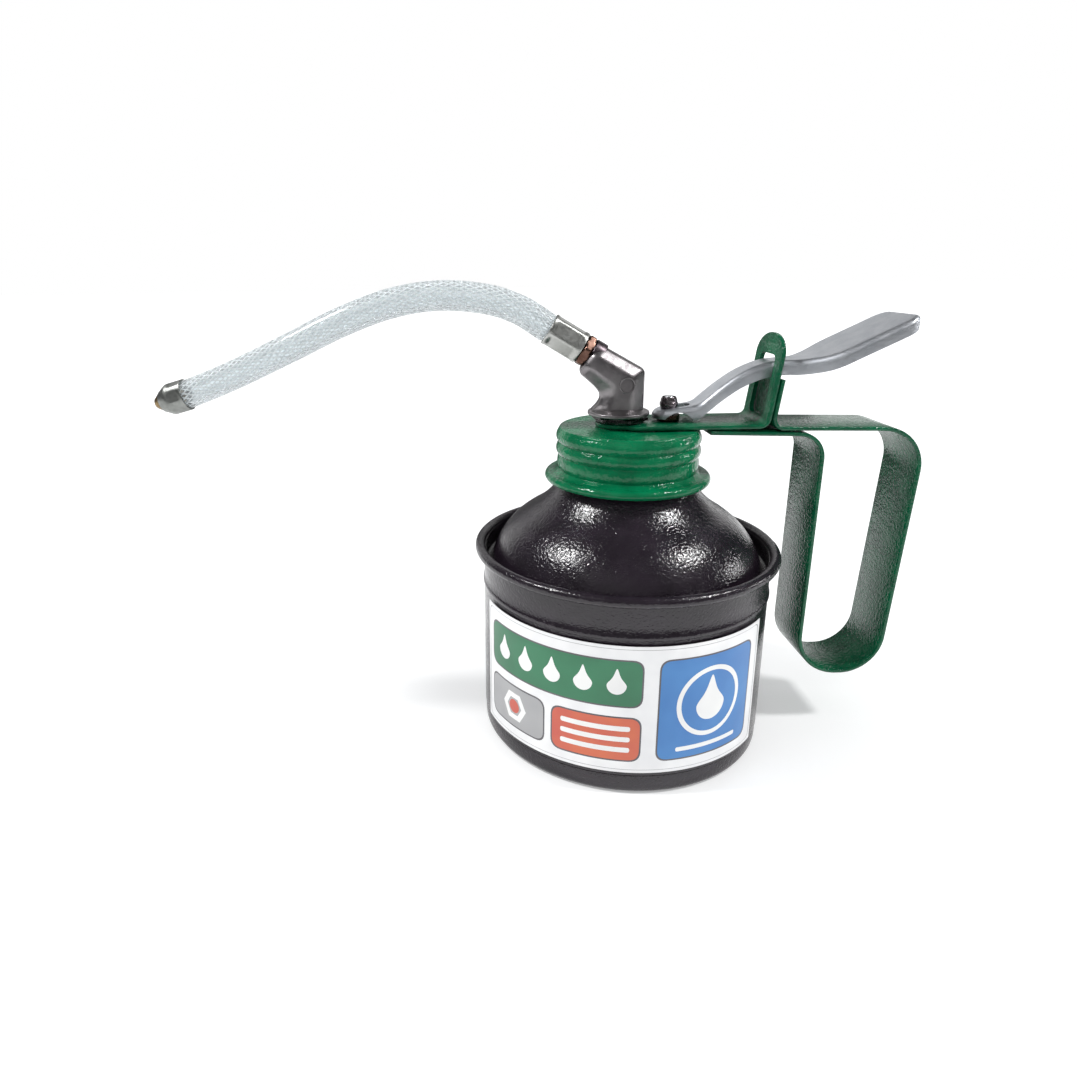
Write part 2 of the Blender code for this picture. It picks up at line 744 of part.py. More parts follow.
def lever_stations():
    """Places along the lever with the half width at each: round nose, straight arms, wide paddle."""
    nose = PUMP_X - LEVER_NOSE
    tip = FULCRUM_X + PADDLE_REACH
    swell = PADDLE_HALF_W - LEVER_HALF_W
    rows = []
    for angle in (math.radians(a) for a in (30, 60, 90)):
        rows.append((nose + LEVER_HALF_W * (1 - math.cos(angle)), LEVER_HALF_W * math.sin(angle)))
    straight_end = FULCRUM_X + PADDLE_START
    count = 12
    for step in range(1, count + 1):
        start = nose + LEVER_HALF_W
        rows.append((start + (straight_end - start) * step / count, LEVER_HALF_W))
    for step in range(1, 7):
        share = step / 6
        x = straight_end + (PADDLE_FULL - PADDLE_START) * share
        rows.append((x, LEVER_HALF_W + swell * (1 - math.cos(math.pi * share)) / 2))
    rows.append(((rows[-1][0] + tip - PADDLE_CORNER_R) / 2, PADDLE_HALF_W))
    last = math.radians(30)
    for angle in (math.radians(90), math.radians(60), last):
        x = tip - PADDLE_CORNER_R * (math.cos(last) - math.cos(angle))
        rows.append((x, PADDLE_HALF_W - PADDLE_CORNER_R * (1 - math.sin(angle))))
    return rows


def lever():
    """Pressed lever: a top with a skirt all round, an arch over the gland and a slot for the rod."""
    ridge = lever_ridge()
    rows = lever_stations()
    foot = DECK + FIT
    shape = bmesh.new()
    pairs = [
        [shape.verts.new((x * MM, side * half * MM, ridge(x) * MM)) for side in (-1, 1)]
        for x, half in rows
    ]
    for (a, b), (c, d) in zip(pairs, pairs[1:]):
        shape.faces.new((a, c, d, b))
    rim = [edge for edge in shape.edges if edge.is_boundary]
    skirt = bmesh.ops.extrude_edge_only(shape, edges=rim)["geom"]
    for vertex in (item for item in skirt if isinstance(item, bmesh.types.BMVert)):
        x = vertex.co.x / MM
        lowest = DECK + NOSE_EDGE_RISE if x < PUMP_X else foot
        vertex.co.z = max(lowest, ridge(x) - LEVER_DEPTH) * MM
    bmesh.ops.recalc_face_normals(shape, faces=shape.faces)
    mesh = bpy.data.meshes.new("lever")
    shape.to_mesh(mesh)
    shape.free()
    piece = add("lever", mesh, PARTS)
    rounding = piece.modifiers.new("edge", "BEVEL")
    rounding.width = LEVER_EDGE_R * MM
    rounding.segments = 2
    rounding.limit_method = "ANGLE"
    rounding.angle_limit = math.radians(55)
    sheet = piece.modifiers.new("sheet", "SOLIDIFY")
    sheet.thickness = LEVER_SHEET * MM
    sheet.offset = -1.0
    sheet.use_even_offset = True
    front = PUMP_X - ROD_SLOT_FRONT + ROD_SLOT_HALF_W
    back = PUMP_X + ROD_SLOT_BACK - ROD_SLOT_HALF_W
    slot = oblong("rod_slot", ROD_SLOT_HALF_W, front, back, DECK + GLAND_HEAD_H, FULCRUM_Z, CUTTERS)
    boolean(piece, slot, "DIFFERENCE")
    arch = (PUMP_X + ARCH_SHIFT, DECK - ARCH_DROP)
    drill(piece, "arch", ARCH_R, (arch[0], -STRIP_W, arch[1]), (arch[0], STRIP_W, arch[1]))
    return finish(piece, PLATED_STEEL)


def elbow_nut():
    low = DECK + FIT
    nut = upright_bar("elbow_nut", NUT_FLATS / math.sqrt(3), ELBOW_X, low, low + NUT_H, PARTS, sides=6)
    drill_down(nut, "thread", STEM_R + FIT, ELBOW_X, low - NUT_H, low + 2 * NUT_H)
    return finish(nut, DARK_STEEL)


SPOUT_WAY = Vector((-math.cos(ELBOW_TURN), math.sin(ELBOW_TURN), 0.0))
SPOUT_SIDE = Vector((-math.sin(ELBOW_TURN), -math.cos(ELBOW_TURN), 0.0))
UP = Vector((0.0, 0.0, 1.0))
LEG_WAY = SPOUT_WAY * math.cos(ELBOW_RISE) + UP * math.sin(ELBOW_RISE)
LEG_UNDER = SPOUT_WAY * math.sin(ELBOW_RISE) - UP * math.cos(ELBOW_RISE)
ELBOW_CORNER = Vector((ELBOW_X, 0.0, DECK + ELBOW_CORNER_RISE))
LEG_END = ELBOW_CORNER + LEG_WAY * ELBOW_LEG
SPOUT_AXIS = SPOUT_WAY * math.cos(SPOUT_RISE) + UP * math.sin(SPOUT_RISE)
SPOUT_START = LEG_END - LEG_UNDER * SPOUT_OFFSET
HEX_START = BOSS_L + FIT
FERRULE_START = HEX_START + NIPPLE_HEX_L + FIT
HOSE_START = FERRULE_START + FERRULE_BASE + FIT
FERRULE_END = FERRULE_START + FERRULE_L
SPOUT_EXIT = SPOUT_START + SPOUT_AXIS * FERRULE_END


def octagon(centre, across, outer, inner):
    """Eight points: half width to the sides, then reaches outside and inside the bend."""
    ring = []
    for corner in range(8):
        angle = math.radians(22.5 + 45 * corner)
        size = 1 / math.cos(math.radians(22.5))
        side = SPOUT_SIDE * (across[0] * math.cos(angle) * size)
        reach = inner if math.sin(angle) > 0 else outer
        ring.append(centre + side + across[1] * (reach * math.sin(angle) * size))
    return ring


def spout_elbow():
    """Cast elbow: threaded stem, flange, eight-sided legs that meet at a mitre, and a round boss."""
    mitre = (SPOUT_WAY + LEG_UNDER) / (1 + SPOUT_WAY.dot(LEG_UNDER))
    flange_top = FLANGE_Z + ELBOW_FLANGE_H
    foot = Vector((ELBOW_X, 0.0, flange_top - ELBOW_FLANGE_H / 2))
    web = Vector((ELBOW_X, 0.0, flange_top + ELBOW_WEB_H))
    rings = [
        octagon(foot, (ELBOW_HALF_W, SPOUT_WAY), ELBOW_BACK, ELBOW_WEB_REACH),
        octagon(web, (ELBOW_HALF_W, SPOUT_WAY), ELBOW_BACK, ELBOW_HALF_H),
        octagon(ELBOW_CORNER, (ELBOW_HALF_W, mitre), ELBOW_BACK, ELBOW_HALF_H),
        octagon(LEG_END, (ELBOW_HALF_W, LEG_UNDER), ELBOW_LEG_BACK, ELBOW_HALF_H),
    ]
    elbow = loft("spout_elbow", rings, PARTS)
    stem_foot = SOCKET_FLOOR + FIT
    profile = [
        (0.0, flange_top), (ELBOW_FLANGE_R - FIT, flange_top), (ELBOW_FLANGE_R, flange_top - FIT),
        (ELBOW_FLANGE_R, FLANGE_Z), (STEM_R, FLANGE_Z), (STEM_R, stem_foot), (0.0, stem_foot),
    ]
    stem = turned("elbow_stem", profile, CUTTERS, 24, ring=False)
    stem.location.x = ELBOW_X * MM
    boolean(elbow, stem, "UNION")
    boss_root = SPOUT_START - SPOUT_AXIS * BOSS_ROOT
    boss = bar("elbow_boss", BOSS_R, boss_root, SPOUT_START + SPOUT_AXIS * BOSS_L, CUTTERS)
    boolean(elbow, boss, "UNION")
    turn_z = SPOUT_START.z - (SPOUT_START - ELBOW_CORNER).dot(SPOUT_WAY) * math.tan(SPOUT_RISE)
    cage_r = OUTLET_BALL_R + OUTLET_CAGE_GAP
    drill_down(elbow, "cage", cage_r, ELBOW_X, stem_foot - OVERCUT, stem_foot + OUTLET_CAGE_H)
    drill_down(elbow, "riser", ELBOW_BORE_R, ELBOW_X, stem_foot + OUTLET_CAGE_H / 2, turn_z)
    turn = Vector((ELBOW_X, 0.0, turn_z))
    drill(elbow, "leg_bore", LEG_BORE_R, turn, SPOUT_START + SPOUT_AXIS)
    depth = NIPPLE_THREAD_L + FIT
    socket = SPOUT_START + SPOUT_AXIS * (BOSS_L - depth)
    mouth = SPOUT_START + SPOUT_AXIS * (BOSS_L + OVERCUT)
    drill(elbow, "nipple_socket", NIPPLE_THREAD_R + FIT, socket, mouth)
    return finish(elbow, CAST_ZINC)


def hose_nipple():
    """Brass nipple: threaded foot, hexagon and a barb inside the hose."""
    foot = BOSS_L - NIPPLE_THREAD_L
    end = HOSE_START + BARB_L
    profile = [
        (BARB_R - FIT, end), (BARB_R, end - BARB_POINT), (BARB_R, HEX_START + NIPPLE_HEX_L / 2),
        (NIPPLE_THREAD_R, HEX_START + NIPPLE_HEX_L / 2), (NIPPLE_THREAD_R, foot),
        (BARB_BORE_R, foot), (BARB_BORE_R, end),
    ]
    nipple = turned("hose_nipple", profile, PARTS)
    nipple.matrix_world = axis_frame(SPOUT_START, SPOUT_AXIS)
    hexagon = bar(
        "nipple_hexagon", NIPPLE_FLATS / math.sqrt(3), SPOUT_START + SPOUT_AXIS * HEX_START,
        SPOUT_START + SPOUT_AXIS * (HEX_START + NIPPLE_HEX_L), CUTTERS, sides=6,
    )
    boolean(nipple, hexagon, "UNION")
    drill(nipple, "bore", BARB_BORE_R, SPOUT_START, SPOUT_START + SPOUT_AXIS * end)
    return finish(nipple, BRASS)


def hose_ferrule():
    """Crimped sleeve over the hose's first end."""
    inner = HOSE_CRIMPED_R + FIT
    hole = BARB_R + FIT
    profile = [
        (FERRULE_R, FERRULE_END), (FERRULE_R, FERRULE_START), (hole, FERRULE_START),
        (hole, FERRULE_START + FERRULE_BASE), (inner, FERRULE_START + FERRULE_BASE), (inner, FERRULE_END),
    ]
    ferrule = turned("hose_ferrule", profile, PARTS)
    ferrule.matrix_world = axis_frame(SPOUT_START, SPOUT_AXIS)
    return finish(ferrule, ALUMINIUM)


TIP_WAY = Vector((
    -math.cos(TIP_DROP) * math.cos(TIP_TURN),
    math.cos(TIP_DROP) * math.sin(TIP_TURN),
    -math.sin(TIP_DROP),
))
TIP_START = SPOUT_EXIT + Vector(HOSE_ROUTE[-1])


def spout_hose():
    """Clear hose with its bore, drawn in where the two sleeves grip it."""
    crimp = HOSE_CRIMPED_R / HOSE_R
    route = [SPOUT_EXIT + SPOUT_AXIS * CRIMP_RUNOUT]
    route += [SPOUT_EXIT + Vector(point) for point in HOSE_ROUTE[:-1]]
    route += [TIP_START - TIP_WAY * CRIMP_RUNOUT]
    free = smooth_line(route, 3)
    first = [SPOUT_START + SPOUT_AXIS * HOSE_START, SPOUT_EXIT]
    last = [TIP_START, TIP_START + TIP_WAY * (TIP_L - TIP_TAPER_L - 2 * FIT)]
    line = first + free + last
    swell = [crimp] * 2 + [1.0] * len(free) + [crimp] * 2
    length = sum((b - a).length for a, b in zip(free, free[1:]))
    print("hose between its sleeves, mm:", round(length + 2 * CRIMP_RUNOUT, 1))
    hose = wire("spout_hose", line, HOSE_R, 3, PARTS, swell)
    bore_line = [first[0] - SPOUT_AXIS * OVERCUT] + line[1:-1] + [last[-1] + TIP_WAY * OVERCUT]
    bore = wire("hose_bore", bore_line, HOSE_BORE_R, 2, CUTTERS)
    boolean(hose, bore, "DIFFERENCE")
    return finish(hose, CLEAR_HOSE)


def tip_ferrule():
    """Crimped sleeve over the hose's free end, drawn in to a small face."""
    inner = HOSE_CRIMPED_R + FIT
    shoulder = TIP_L - TIP_TAPER_L
    hole = BARB_R + FIT
    profile = [
        (hole, TIP_L), (TIP_FACE_R, TIP_L), (FERRULE_R, shoulder), (FERRULE_R, 0.0),
        (inner, 0.0), (inner, shoulder - FIT), (hole, shoulder - FIT),
    ]
    ferrule = turned("tip_ferrule", profile, PARTS)
    ferrule.matrix_world = axis_frame(TIP_START, TIP_WAY)
    return finish(ferrule, ALUMINIUM)


def tip_nozzle():
    """Brass tip: a barb inside the hose and a small nose with the outlet hole."""
    low = TIP_L + FIT
    profile = [
        (TIP_ORIFICE_R, low + TIP_NOSE_L), (TIP_POINT_R, low + TIP_NOSE_L), (TIP_NOSE_R, low),
        (BARB_R, low), (BARB_R, BARB_POINT), (BARB_R - FIT, 0.0), (TIP_ORIFICE_R, 0.0),
    ]
    nozzle = turned("tip_nozzle", profile, PARTS)
    nozzle.matrix_world = axis_frame(TIP_START, TIP_WAY)
    return finish(nozzle, BRASS)


def pump_head():
    """Cast head under the cap: gland seat over the barrel, cross passage and the outlet valve seat."""
    head = oblong("pump_head", HEAD_R, ELBOW_X, PUMP_X, HEAD_BOTTOM, HEAD_TOP, PARTS)
    spigot = upright_bar("head_spigot", BORE_R - FIT, PUMP_X, SPIGOT_FOOT, HEAD_BOTTOM + OVERCUT, CUTTERS)
    boolean(head, spigot, "UNION")
    chamber_r = GLAND_R + FIT
    floor = GLAND_SEAT - GLAND_FLOOR
    passage = HEAD_BOTTOM + PASSAGE_RISE
    drill_down(head, "chamber", chamber_r, PUMP_X, SPIGOT_FOOT - OVERCUT, floor)
    drill_down(head, "rod_hole", ROD_R + FIT, PUMP_X, floor - OVERCUT, HEAD_TOP)
    drill_down(head, "gland_socket", chamber_r, PUMP_X, GLAND_SEAT, HEAD_TOP + OVERCUT)
    drill(head, "passage", PASSAGE_R, (ELBOW_X, 0.0, passage), (PUMP_X, 0.0, passage))
    drill_down(head, "port", PORT_R, ELBOW_X, passage, SOCKET_FLOOR + OVERCUT)
    drill_down(head, "stem_socket", STEM_R + FIT, ELBOW_X, SOCKET_FLOOR, HEAD_TOP + OVERCUT)
    return finish(head, CAST_ZINC)


def pump_head_gasket():
    low = HEAD_TOP + FIT
    high = low + HEAD_GASKET_T
    gasket = oblong("pump_head_gasket", HEAD_R, ELBOW_X, PUMP_X, low, high, PARTS)
    drill_down(gasket, "stem_hole", STEM_R + FIT, ELBOW_X, low - OVERCUT, high + OVERCUT)
    drill_down(gasket, "gland_hole", GLAND_R + FIT, PUMP_X, low - OVERCUT, high + OVERCUT)
    return finish(gasket, RUBBER)


def on_pump(piece):
    """Stand a turned piece on the pump's axis."""
    piece.location.x = PUMP_X * MM
    return piece


def gland_nut():
    bore = ROD_R + FIT
    low = GLAND_SEAT + FIT + PACKING_H + FIT
    shoulder = DECK + FIT
    top = shoulder + GLAND_HEAD_H
    profile = [
        (GLAND_HEAD_R, top), (GLAND_HEAD_R, shoulder), (GLAND_R, shoulder), (GLAND_R, low),
        (bore, low), (bore, top),
    ]
    return finish(on_pump(turned("gland_nut", profile, PARTS)), BRASS)


def gland_packing():
    bore = ROD_R + FIT
    low = GLAND_SEAT + FIT
    high = low + PACKING_H
    profile = [(GLAND_R, high), (GLAND_R, low), (bore, low), (bore, high)]
    return finish(on_pump(turned("gland_packing", profile, PARTS)), NYLON)


def pump_barrel():
    profile = [(BARREL_R, BARREL_TOP), (BARREL_R, BARREL_BOTTOM), (BORE_R, BARREL_BOTTOM), (BORE_R, BARREL_TOP)]
    return finish(on_pump(turned("pump_barrel", profile, PARTS)), BRASS)


def foot_valve():
    """Plug in the barrel's foot with the inlet seat, the ball's cage and the suction tube's socket."""
    cage = INLET_BALL_R + INLET_CAGE_GAP
    ledge = BARREL_BOTTOM - FIT
    under = ledge - FOOT_FLANGE_H
    foot = under - FOOT_NECK_H
    socket = TUBE_R + FIT
    profile = [
        (BORE_R - FIT, FOOT_TOP), (BORE_R - FIT, ledge), (BARREL_R, ledge), (BARREL_R, under),
        (FOOT_NECK_R, under), (FOOT_NECK_R, foot), (socket, foot), (socket, foot + TUBE_SOCKET),
        (INLET_PORT_R, foot + TUBE_SOCKET), (INLET_PORT_R, INLET_SEAT), (cage, INLET_SEAT), (cage, FOOT_TOP),
    ]
    valve = on_pump(turned("foot_valve", profile, PARTS))
    height = INLET_SEAT + PIN_RISE
    drill(valve, "pin_hole", PIN_R + FIT, (PUMP_X, -BARREL_R, height), (PUMP_X, BARREL_R, height))
    return finish(valve, BRASS)


def ball_pin():
    height = INLET_SEAT + PIN_RISE
    reach = BORE_R - 2 * FIT
    pin = bar("ball_pin", PIN_R, (PUMP_X, -reach, height), (PUMP_X, reach, height), PARTS, sides=8)
    return finish(pin, PLATED_STEEL)


def suction_tube():
    top = BARREL_BOTTOM - FIT - FOOT_FLANGE_H - FOOT_NECK_H + TUBE_SOCKET - FIT
    foot = SHEET + TUBE_FOOT_GAP
    bore = TUBE_R - TUBE_WALL
    profile = [(TUBE_R, top), (TUBE_R, foot), (bore, foot), (bore, top)]
    return finish(on_pump(turned("suction_tube", profile, PARTS)), PLATED_STEEL)


def seated_ball(name, radius, port, seat, x):
    """A ball on the edge of its port, lifted by the fit."""
    height = seat + math.sqrt(radius ** 2 - port ** 2) + FIT
    return finish(ball(name, radius, x, height, PARTS), PLATED_STEEL), height


def return_spring():
    coil_r = BORE_R - FIT - SPRING_WIRE / 2 - FIT
    low = PISTON_Z + PISTON_H + FIT
    coil = spring("return_spring", coil_r, SPRING_WIRE, SPRING_TURNS, PUMP_X, low, SPIGOT_FOOT - FIT, PARTS)
    return finish(coil, PLATED_STEEL)


def outlet_spring(ball_height):
    """Light spring from the outlet ball up to the end of its cage in the stem."""
    reach = OUTLET_BALL_R + OUTLET_WIRE / 2 + FIT
    low = ball_height + math.sqrt(reach ** 2 - OUTLET_COIL_R ** 2) - OUTLET_WIRE / 2
    high = SOCKET_FLOOR + OUTLET_CAGE_H
    coil = spring("outlet_spring", OUTLET_COIL_R, OUTLET_WIRE, OUTLET_TURNS, ELBOW_X, low, high, PARTS)
    return finish(coil, PLATED_STEEL)


def ball_head_height():
    """Middle of the rounded nut, which rests on the two edges of the lever's slot."""
    drop = math.sqrt(BALL_HEAD_R ** 2 - ROD_SLOT_HALF_W ** 2)
    return lever_ridge()(PUMP_X) + drop * BALL_HEAD_FLATNESS + FIT


def plunger_rod():
    top = ball_head_height() + ROD_END
    low = PISTON_NUT_Z - FIT
    return finish(upright_bar("plunger_rod", ROD_R, PUMP_X, low, top, PARTS), PLATED_STEEL)


def rod_nut():
    height = ball_head_height()
    nut = ball("rod_nut", BALL_HEAD_R, PUMP_X, height, PARTS, BALL_HEAD_FLATNESS)
    drill_down(nut, "thread", ROD_R + FIT, PUMP_X, height - 2 * BALL_HEAD_R, height + 2 * BALL_HEAD_R)
    return finish(nut, DARK_STEEL)


def piston():
    outer = BORE_R - FIT
    bore = ROD_R + FIT
    high = PISTON_Z + PISTON_H
    profile = [(outer, high), (outer, PISTON_Z), (bore, PISTON_Z), (bore, high)]
    return finish(on_pump(turned("piston", profile, PARTS)), BRASS)


def piston_cup():
    """Rubber cup under the piston, open downwards at its lip."""
    outer = BORE_R - FIT
    bore = ROD_R + FIT
    high = CUP_Z + CUP_H
    floor = high - CUP_WALL
    profile = [
        (outer, high), (outer, CUP_Z), (outer - CUP_WALL, CUP_Z), (outer - CUP_WALL, floor),
        (bore + CUP_WALL, floor), (bore + CUP_WALL, CUP_Z), (bore, CUP_Z), (bore, high),
    ]
    return finish(on_pump(turned("piston_cup", profile, PARTS)), RUBBER)


def piston_nut():
    nut = upright_bar(
        "piston_nut", PISTON_NUT_R, PUMP_X, PISTON_NUT_Z, PISTON_NUT_Z + PISTON_NUT_H, PARTS, sides=6,
    )
    low = PISTON_NUT_Z - PISTON_NUT_H
    drill_down(nut, "thread", ROD_R + FIT, PUMP_X, low, PISTON_NUT_Z + 2 * PISTON_NUT_H)
    return finish(nut, BRASS)


def axis_empty(name, place, parent):
    """An empty on a joint's axis."""
    empty = add(name, None, PARTS)
    empty.location = Vector(place) * MM
    if parent:
        empty.parent = parent
    return empty


def ride(empty, pieces):
    """Parent pieces to an empty and leave them where they are."""
    bpy.context.view_layer.update()
    for piece in pieces:
        piece.parent = empty
        piece.matrix_parent_inverse = empty.matrix_world.inverted()


def build():
    can_body()
    can_base()
    can_shoulder()
    label()
    seal = axis_empty("cap_seal_axis", (0.0, 0.0, 0.0), None)
    ride(seal, [cap_gasket()])
    cap_axis = axis_empty("cap_axis", (0.0, 0.0, 0.0), seal)
    outlet_ball, outlet_height = seated_ball("outlet_ball", OUTLET_BALL_R, PORT_R, SOCKET_FLOOR, ELBOW_X)
    inlet_ball, _ = seated_ball("inlet_ball", INLET_BALL_R, INLET_PORT_R, INLET_SEAT, PUMP_X)
    fixed = [
        screw_cap(), guide_strip(), handle_strip(), elbow_nut(), spout_elbow(), hose_nipple(),
        hose_ferrule(), spout_hose(), tip_ferrule(), tip_nozzle(), pump_head(), pump_head_gasket(),
        gland_nut(), gland_packing(), pump_barrel(), foot_valve(), ball_pin(), suction_tube(),
        return_spring(), outlet_spring(outlet_height), outlet_ball, inlet_ball,
    ]
    ride(cap_axis, fixed)
    ride(axis_empty("lever_pivot", (FULCRUM_X, 0.0, FULCRUM_Z), cap_axis), [lever()])
    plunger = axis_empty("plunger_axis", (PUMP_X, 0.0, 0.0), cap_axis)
    ride(plunger, [plunger_rod(), rod_nut(), piston(), piston_cup(), piston_nut()])
    for piece in PARTS.objects:
        if piece.type == "MESH":
            piece.data.shade_smooth()
            piece.data.set_sharp_from_angle(angle=math.radians(35))
    print("fulcrum x, z mm:", round(FULCRUM_X, 2), round(FULCRUM_Z, 2))
    print("pump x, elbow x mm:", round(PUMP_X, 2), round(ELBOW_X, 2))


build()
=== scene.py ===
# %% [markdown]
# A hand oil dispenser: a black tin with a green screw cap, a thumb-lever pump, a strip handle and a
# clear braided hose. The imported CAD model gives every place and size, in metres, with the tin's
# axis on Z, the handle towards +X and the spout towards -X. Here each visible piece gets a finer
# surface in the same place, and a material that shows what it is made of.

# %% Load the frame
import json
import math

import bmesh
import bpy
import numpy as np
from mathutils import Matrix, Vector

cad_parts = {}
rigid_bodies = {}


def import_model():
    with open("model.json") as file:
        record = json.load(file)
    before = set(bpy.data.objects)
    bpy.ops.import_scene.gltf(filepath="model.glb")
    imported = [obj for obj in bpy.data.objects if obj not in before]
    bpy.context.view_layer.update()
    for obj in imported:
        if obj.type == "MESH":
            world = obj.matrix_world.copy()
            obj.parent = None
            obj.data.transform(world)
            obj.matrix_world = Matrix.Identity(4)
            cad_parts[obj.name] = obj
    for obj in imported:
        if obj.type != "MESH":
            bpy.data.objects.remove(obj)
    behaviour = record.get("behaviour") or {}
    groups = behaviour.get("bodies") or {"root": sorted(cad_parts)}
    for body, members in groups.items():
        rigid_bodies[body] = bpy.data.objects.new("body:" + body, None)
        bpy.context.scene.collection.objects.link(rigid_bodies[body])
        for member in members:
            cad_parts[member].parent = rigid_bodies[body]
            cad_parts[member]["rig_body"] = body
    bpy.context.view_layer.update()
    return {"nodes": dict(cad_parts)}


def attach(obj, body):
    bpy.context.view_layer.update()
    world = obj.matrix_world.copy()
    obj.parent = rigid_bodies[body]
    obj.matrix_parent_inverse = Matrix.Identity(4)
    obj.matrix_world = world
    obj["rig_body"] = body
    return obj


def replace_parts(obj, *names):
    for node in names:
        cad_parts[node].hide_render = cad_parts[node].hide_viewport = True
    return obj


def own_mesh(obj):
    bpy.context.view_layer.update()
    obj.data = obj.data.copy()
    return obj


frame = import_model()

# %% [markdown]
# The photograph was taken from a little above the cap and to the left. Its camera was found by
# fitting ellipses of the tin and upright edges of the handle: a place, three angles, and a lens.
# A small shift puts the picture's middle where the photograph has it.

# %% Camera
MM = 0.001
PICTURE_W, PICTURE_H = 1077, 1080
FOCAL_PIXELS, SENSOR = 769.6, 36.0
MIDDLE_X, MIDDLE_Y = 479.9, 491.2
CAMERA_AT = Vector((-49.6, -218.7, 140.0)) * MM


def stand(name, data):
    """A new object in the scene, made of that data."""
    item = bpy.data.objects.new(name, data)
    bpy.context.scene.collection.objects.link(item)
    return item


yaw, pitch, roll = np.radians([1.6, 16.6, -0.8])
ahead = Vector((math.sin(yaw) * math.cos(pitch), math.cos(yaw) * math.cos(pitch), -math.sin(pitch)))
level_right = Vector((math.cos(yaw), -math.sin(yaw), 0.0))
level_up = level_right.cross(ahead)
right = level_right * math.cos(roll) + level_up * math.sin(roll)
up = level_up * math.cos(roll) - level_right * math.sin(roll)
turned_to = Matrix((right, up, -ahead)).transposed().to_4x4()
turned_to.translation = CAMERA_AT
camera = stand("camera", bpy.data.cameras.new("camera"))
camera.matrix_world = turned_to
camera.data.sensor_width = SENSOR
camera.data.lens = FOCAL_PIXELS * SENSOR / PICTURE_H
camera.data.shift_x = (PICTURE_W / 2 - MIDDLE_X) / PICTURE_H
camera.data.shift_y = (MIDDLE_Y - PICTURE_H / 2) / PICTURE_H
camera.data.clip_start = 0.01
bpy.context.scene.camera = camera
print("lens, mm:", round(camera.data.lens, 2))

# %% [markdown]
# Every new piece is a grid of points worked out with whole arrays. One helper turns such grids into
# a mesh: each cell is one quad, the columns go round, and rows that wrap join the last to the first.
# Points that fall on each other are merged, so that poles and seams are closed, and then the normals
# are turned outwards.

# %% Helper: grids to a mesh
def quads(rows, columns, wrap=False):
    """Corner numbers of the cells of a grid: (r, c), (r, c+1), (r+1, c+1), (r+1, c). The last column
    meets the first, and with wrap the last row meets the first."""
    r, c = np.meshgrid(np.arange(rows if wrap else rows - 1), np.arange(columns), indexing="ij")
    steps = ((0, 0), (0, 1), (1, 1), (1, 0))
    numbers = [((r + a) % rows) * columns + (c + b) % columns for a, b in steps]
    corners = [np.stack([c + b, r + a], -1) for a, b in steps]
    return np.stack(numbers, -1).reshape(-1, 4), np.stack(corners, 2)


def clean(mesh, closed=True):
    """Merge points that fall on each other, and turn the faces of a closed shape outwards."""
    shape = bmesh.new()
    shape.from_mesh(mesh)
    bmesh.ops.remove_doubles(shape, verts=shape.verts, dist=1e-7)
    if closed:
        bmesh.ops.recalc_face_normals(shape, faces=shape.faces)
    shape.to_mesh(mesh)
    shape.free()


def surface(name, patches, node, looks, closed=True, sharp=35.0):
    """A smooth piece from patches: each is (points in mm, whether the rows wrap) or also a material
    number. It rides on the body of a CAD node and hides that node."""
    points, faces, uvs, numbers = [], [], [], []
    start = 0
    for grid, wrap, *number in patches:
        rows, columns = grid.shape[:2]
        cells, uv = quads(rows, columns, wrap)
        points.append(grid.reshape(-1, 3))
        faces.append(cells + start)
        uvs.append(uv.reshape(-1, 2) / [columns, rows - 1])
        numbers.append(np.full(len(cells), number[0] if number else 0))
        start += rows * columns
    mesh = bpy.data.meshes.new(name)
    mesh.from_pydata((np.concatenate(points) * MM).tolist(), [], np.concatenate(faces).tolist())
    mesh.uv_layers.new(name="UVMap").data.foreach_set("uv", np.concatenate(uvs).ravel())
    mesh.polygons.foreach_set("material_index", np.concatenate(numbers).astype(np.int32))
    clean(mesh, closed)
    mesh.shade_smooth()
    mesh.set_sharp_from_angle(angle=math.radians(sharp))
    for look in looks if isinstance(looks, list) else [looks]:
        mesh.materials.append(look)
    piece = stand(name, mesh)
    print(name, "faces:", len(mesh.polygons))
    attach(piece, frame["nodes"][node]["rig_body"])
    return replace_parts(piece, node)


# %% [markdown]
# Two ways of making a surface serve for most pieces. A lathe turns an outline of radius and height
# about an axis. A sweep carries a section along a line. Corners are softened by short parabolas,
# because no pressed or turned edge is perfectly sharp.

# %% Helpers: points and lines
def coords(*parts):
    """Points from their coordinates, each an array or one value for all."""
    return np.stack(np.broadcast_arrays(*parts), -1)


def unit(ways):
    """The same ways, each of length one."""
    return ways / np.linalg.norm(ways, axis=-1, keepdims=True)


def turns(count):
    """Even angles once round a circle."""
    return 2 * np.pi * np.arange(count) / count


def walk(line):
    """How far along a line each of its points lies."""
    return np.concatenate([[0.0], np.cumsum(np.linalg.norm(np.diff(line, axis=0), axis=1))])


def taken(line, stations):
    """The points of a line at those distances along it."""
    return coords(*(np.interp(stations, walk(line), part) for part in line.T))


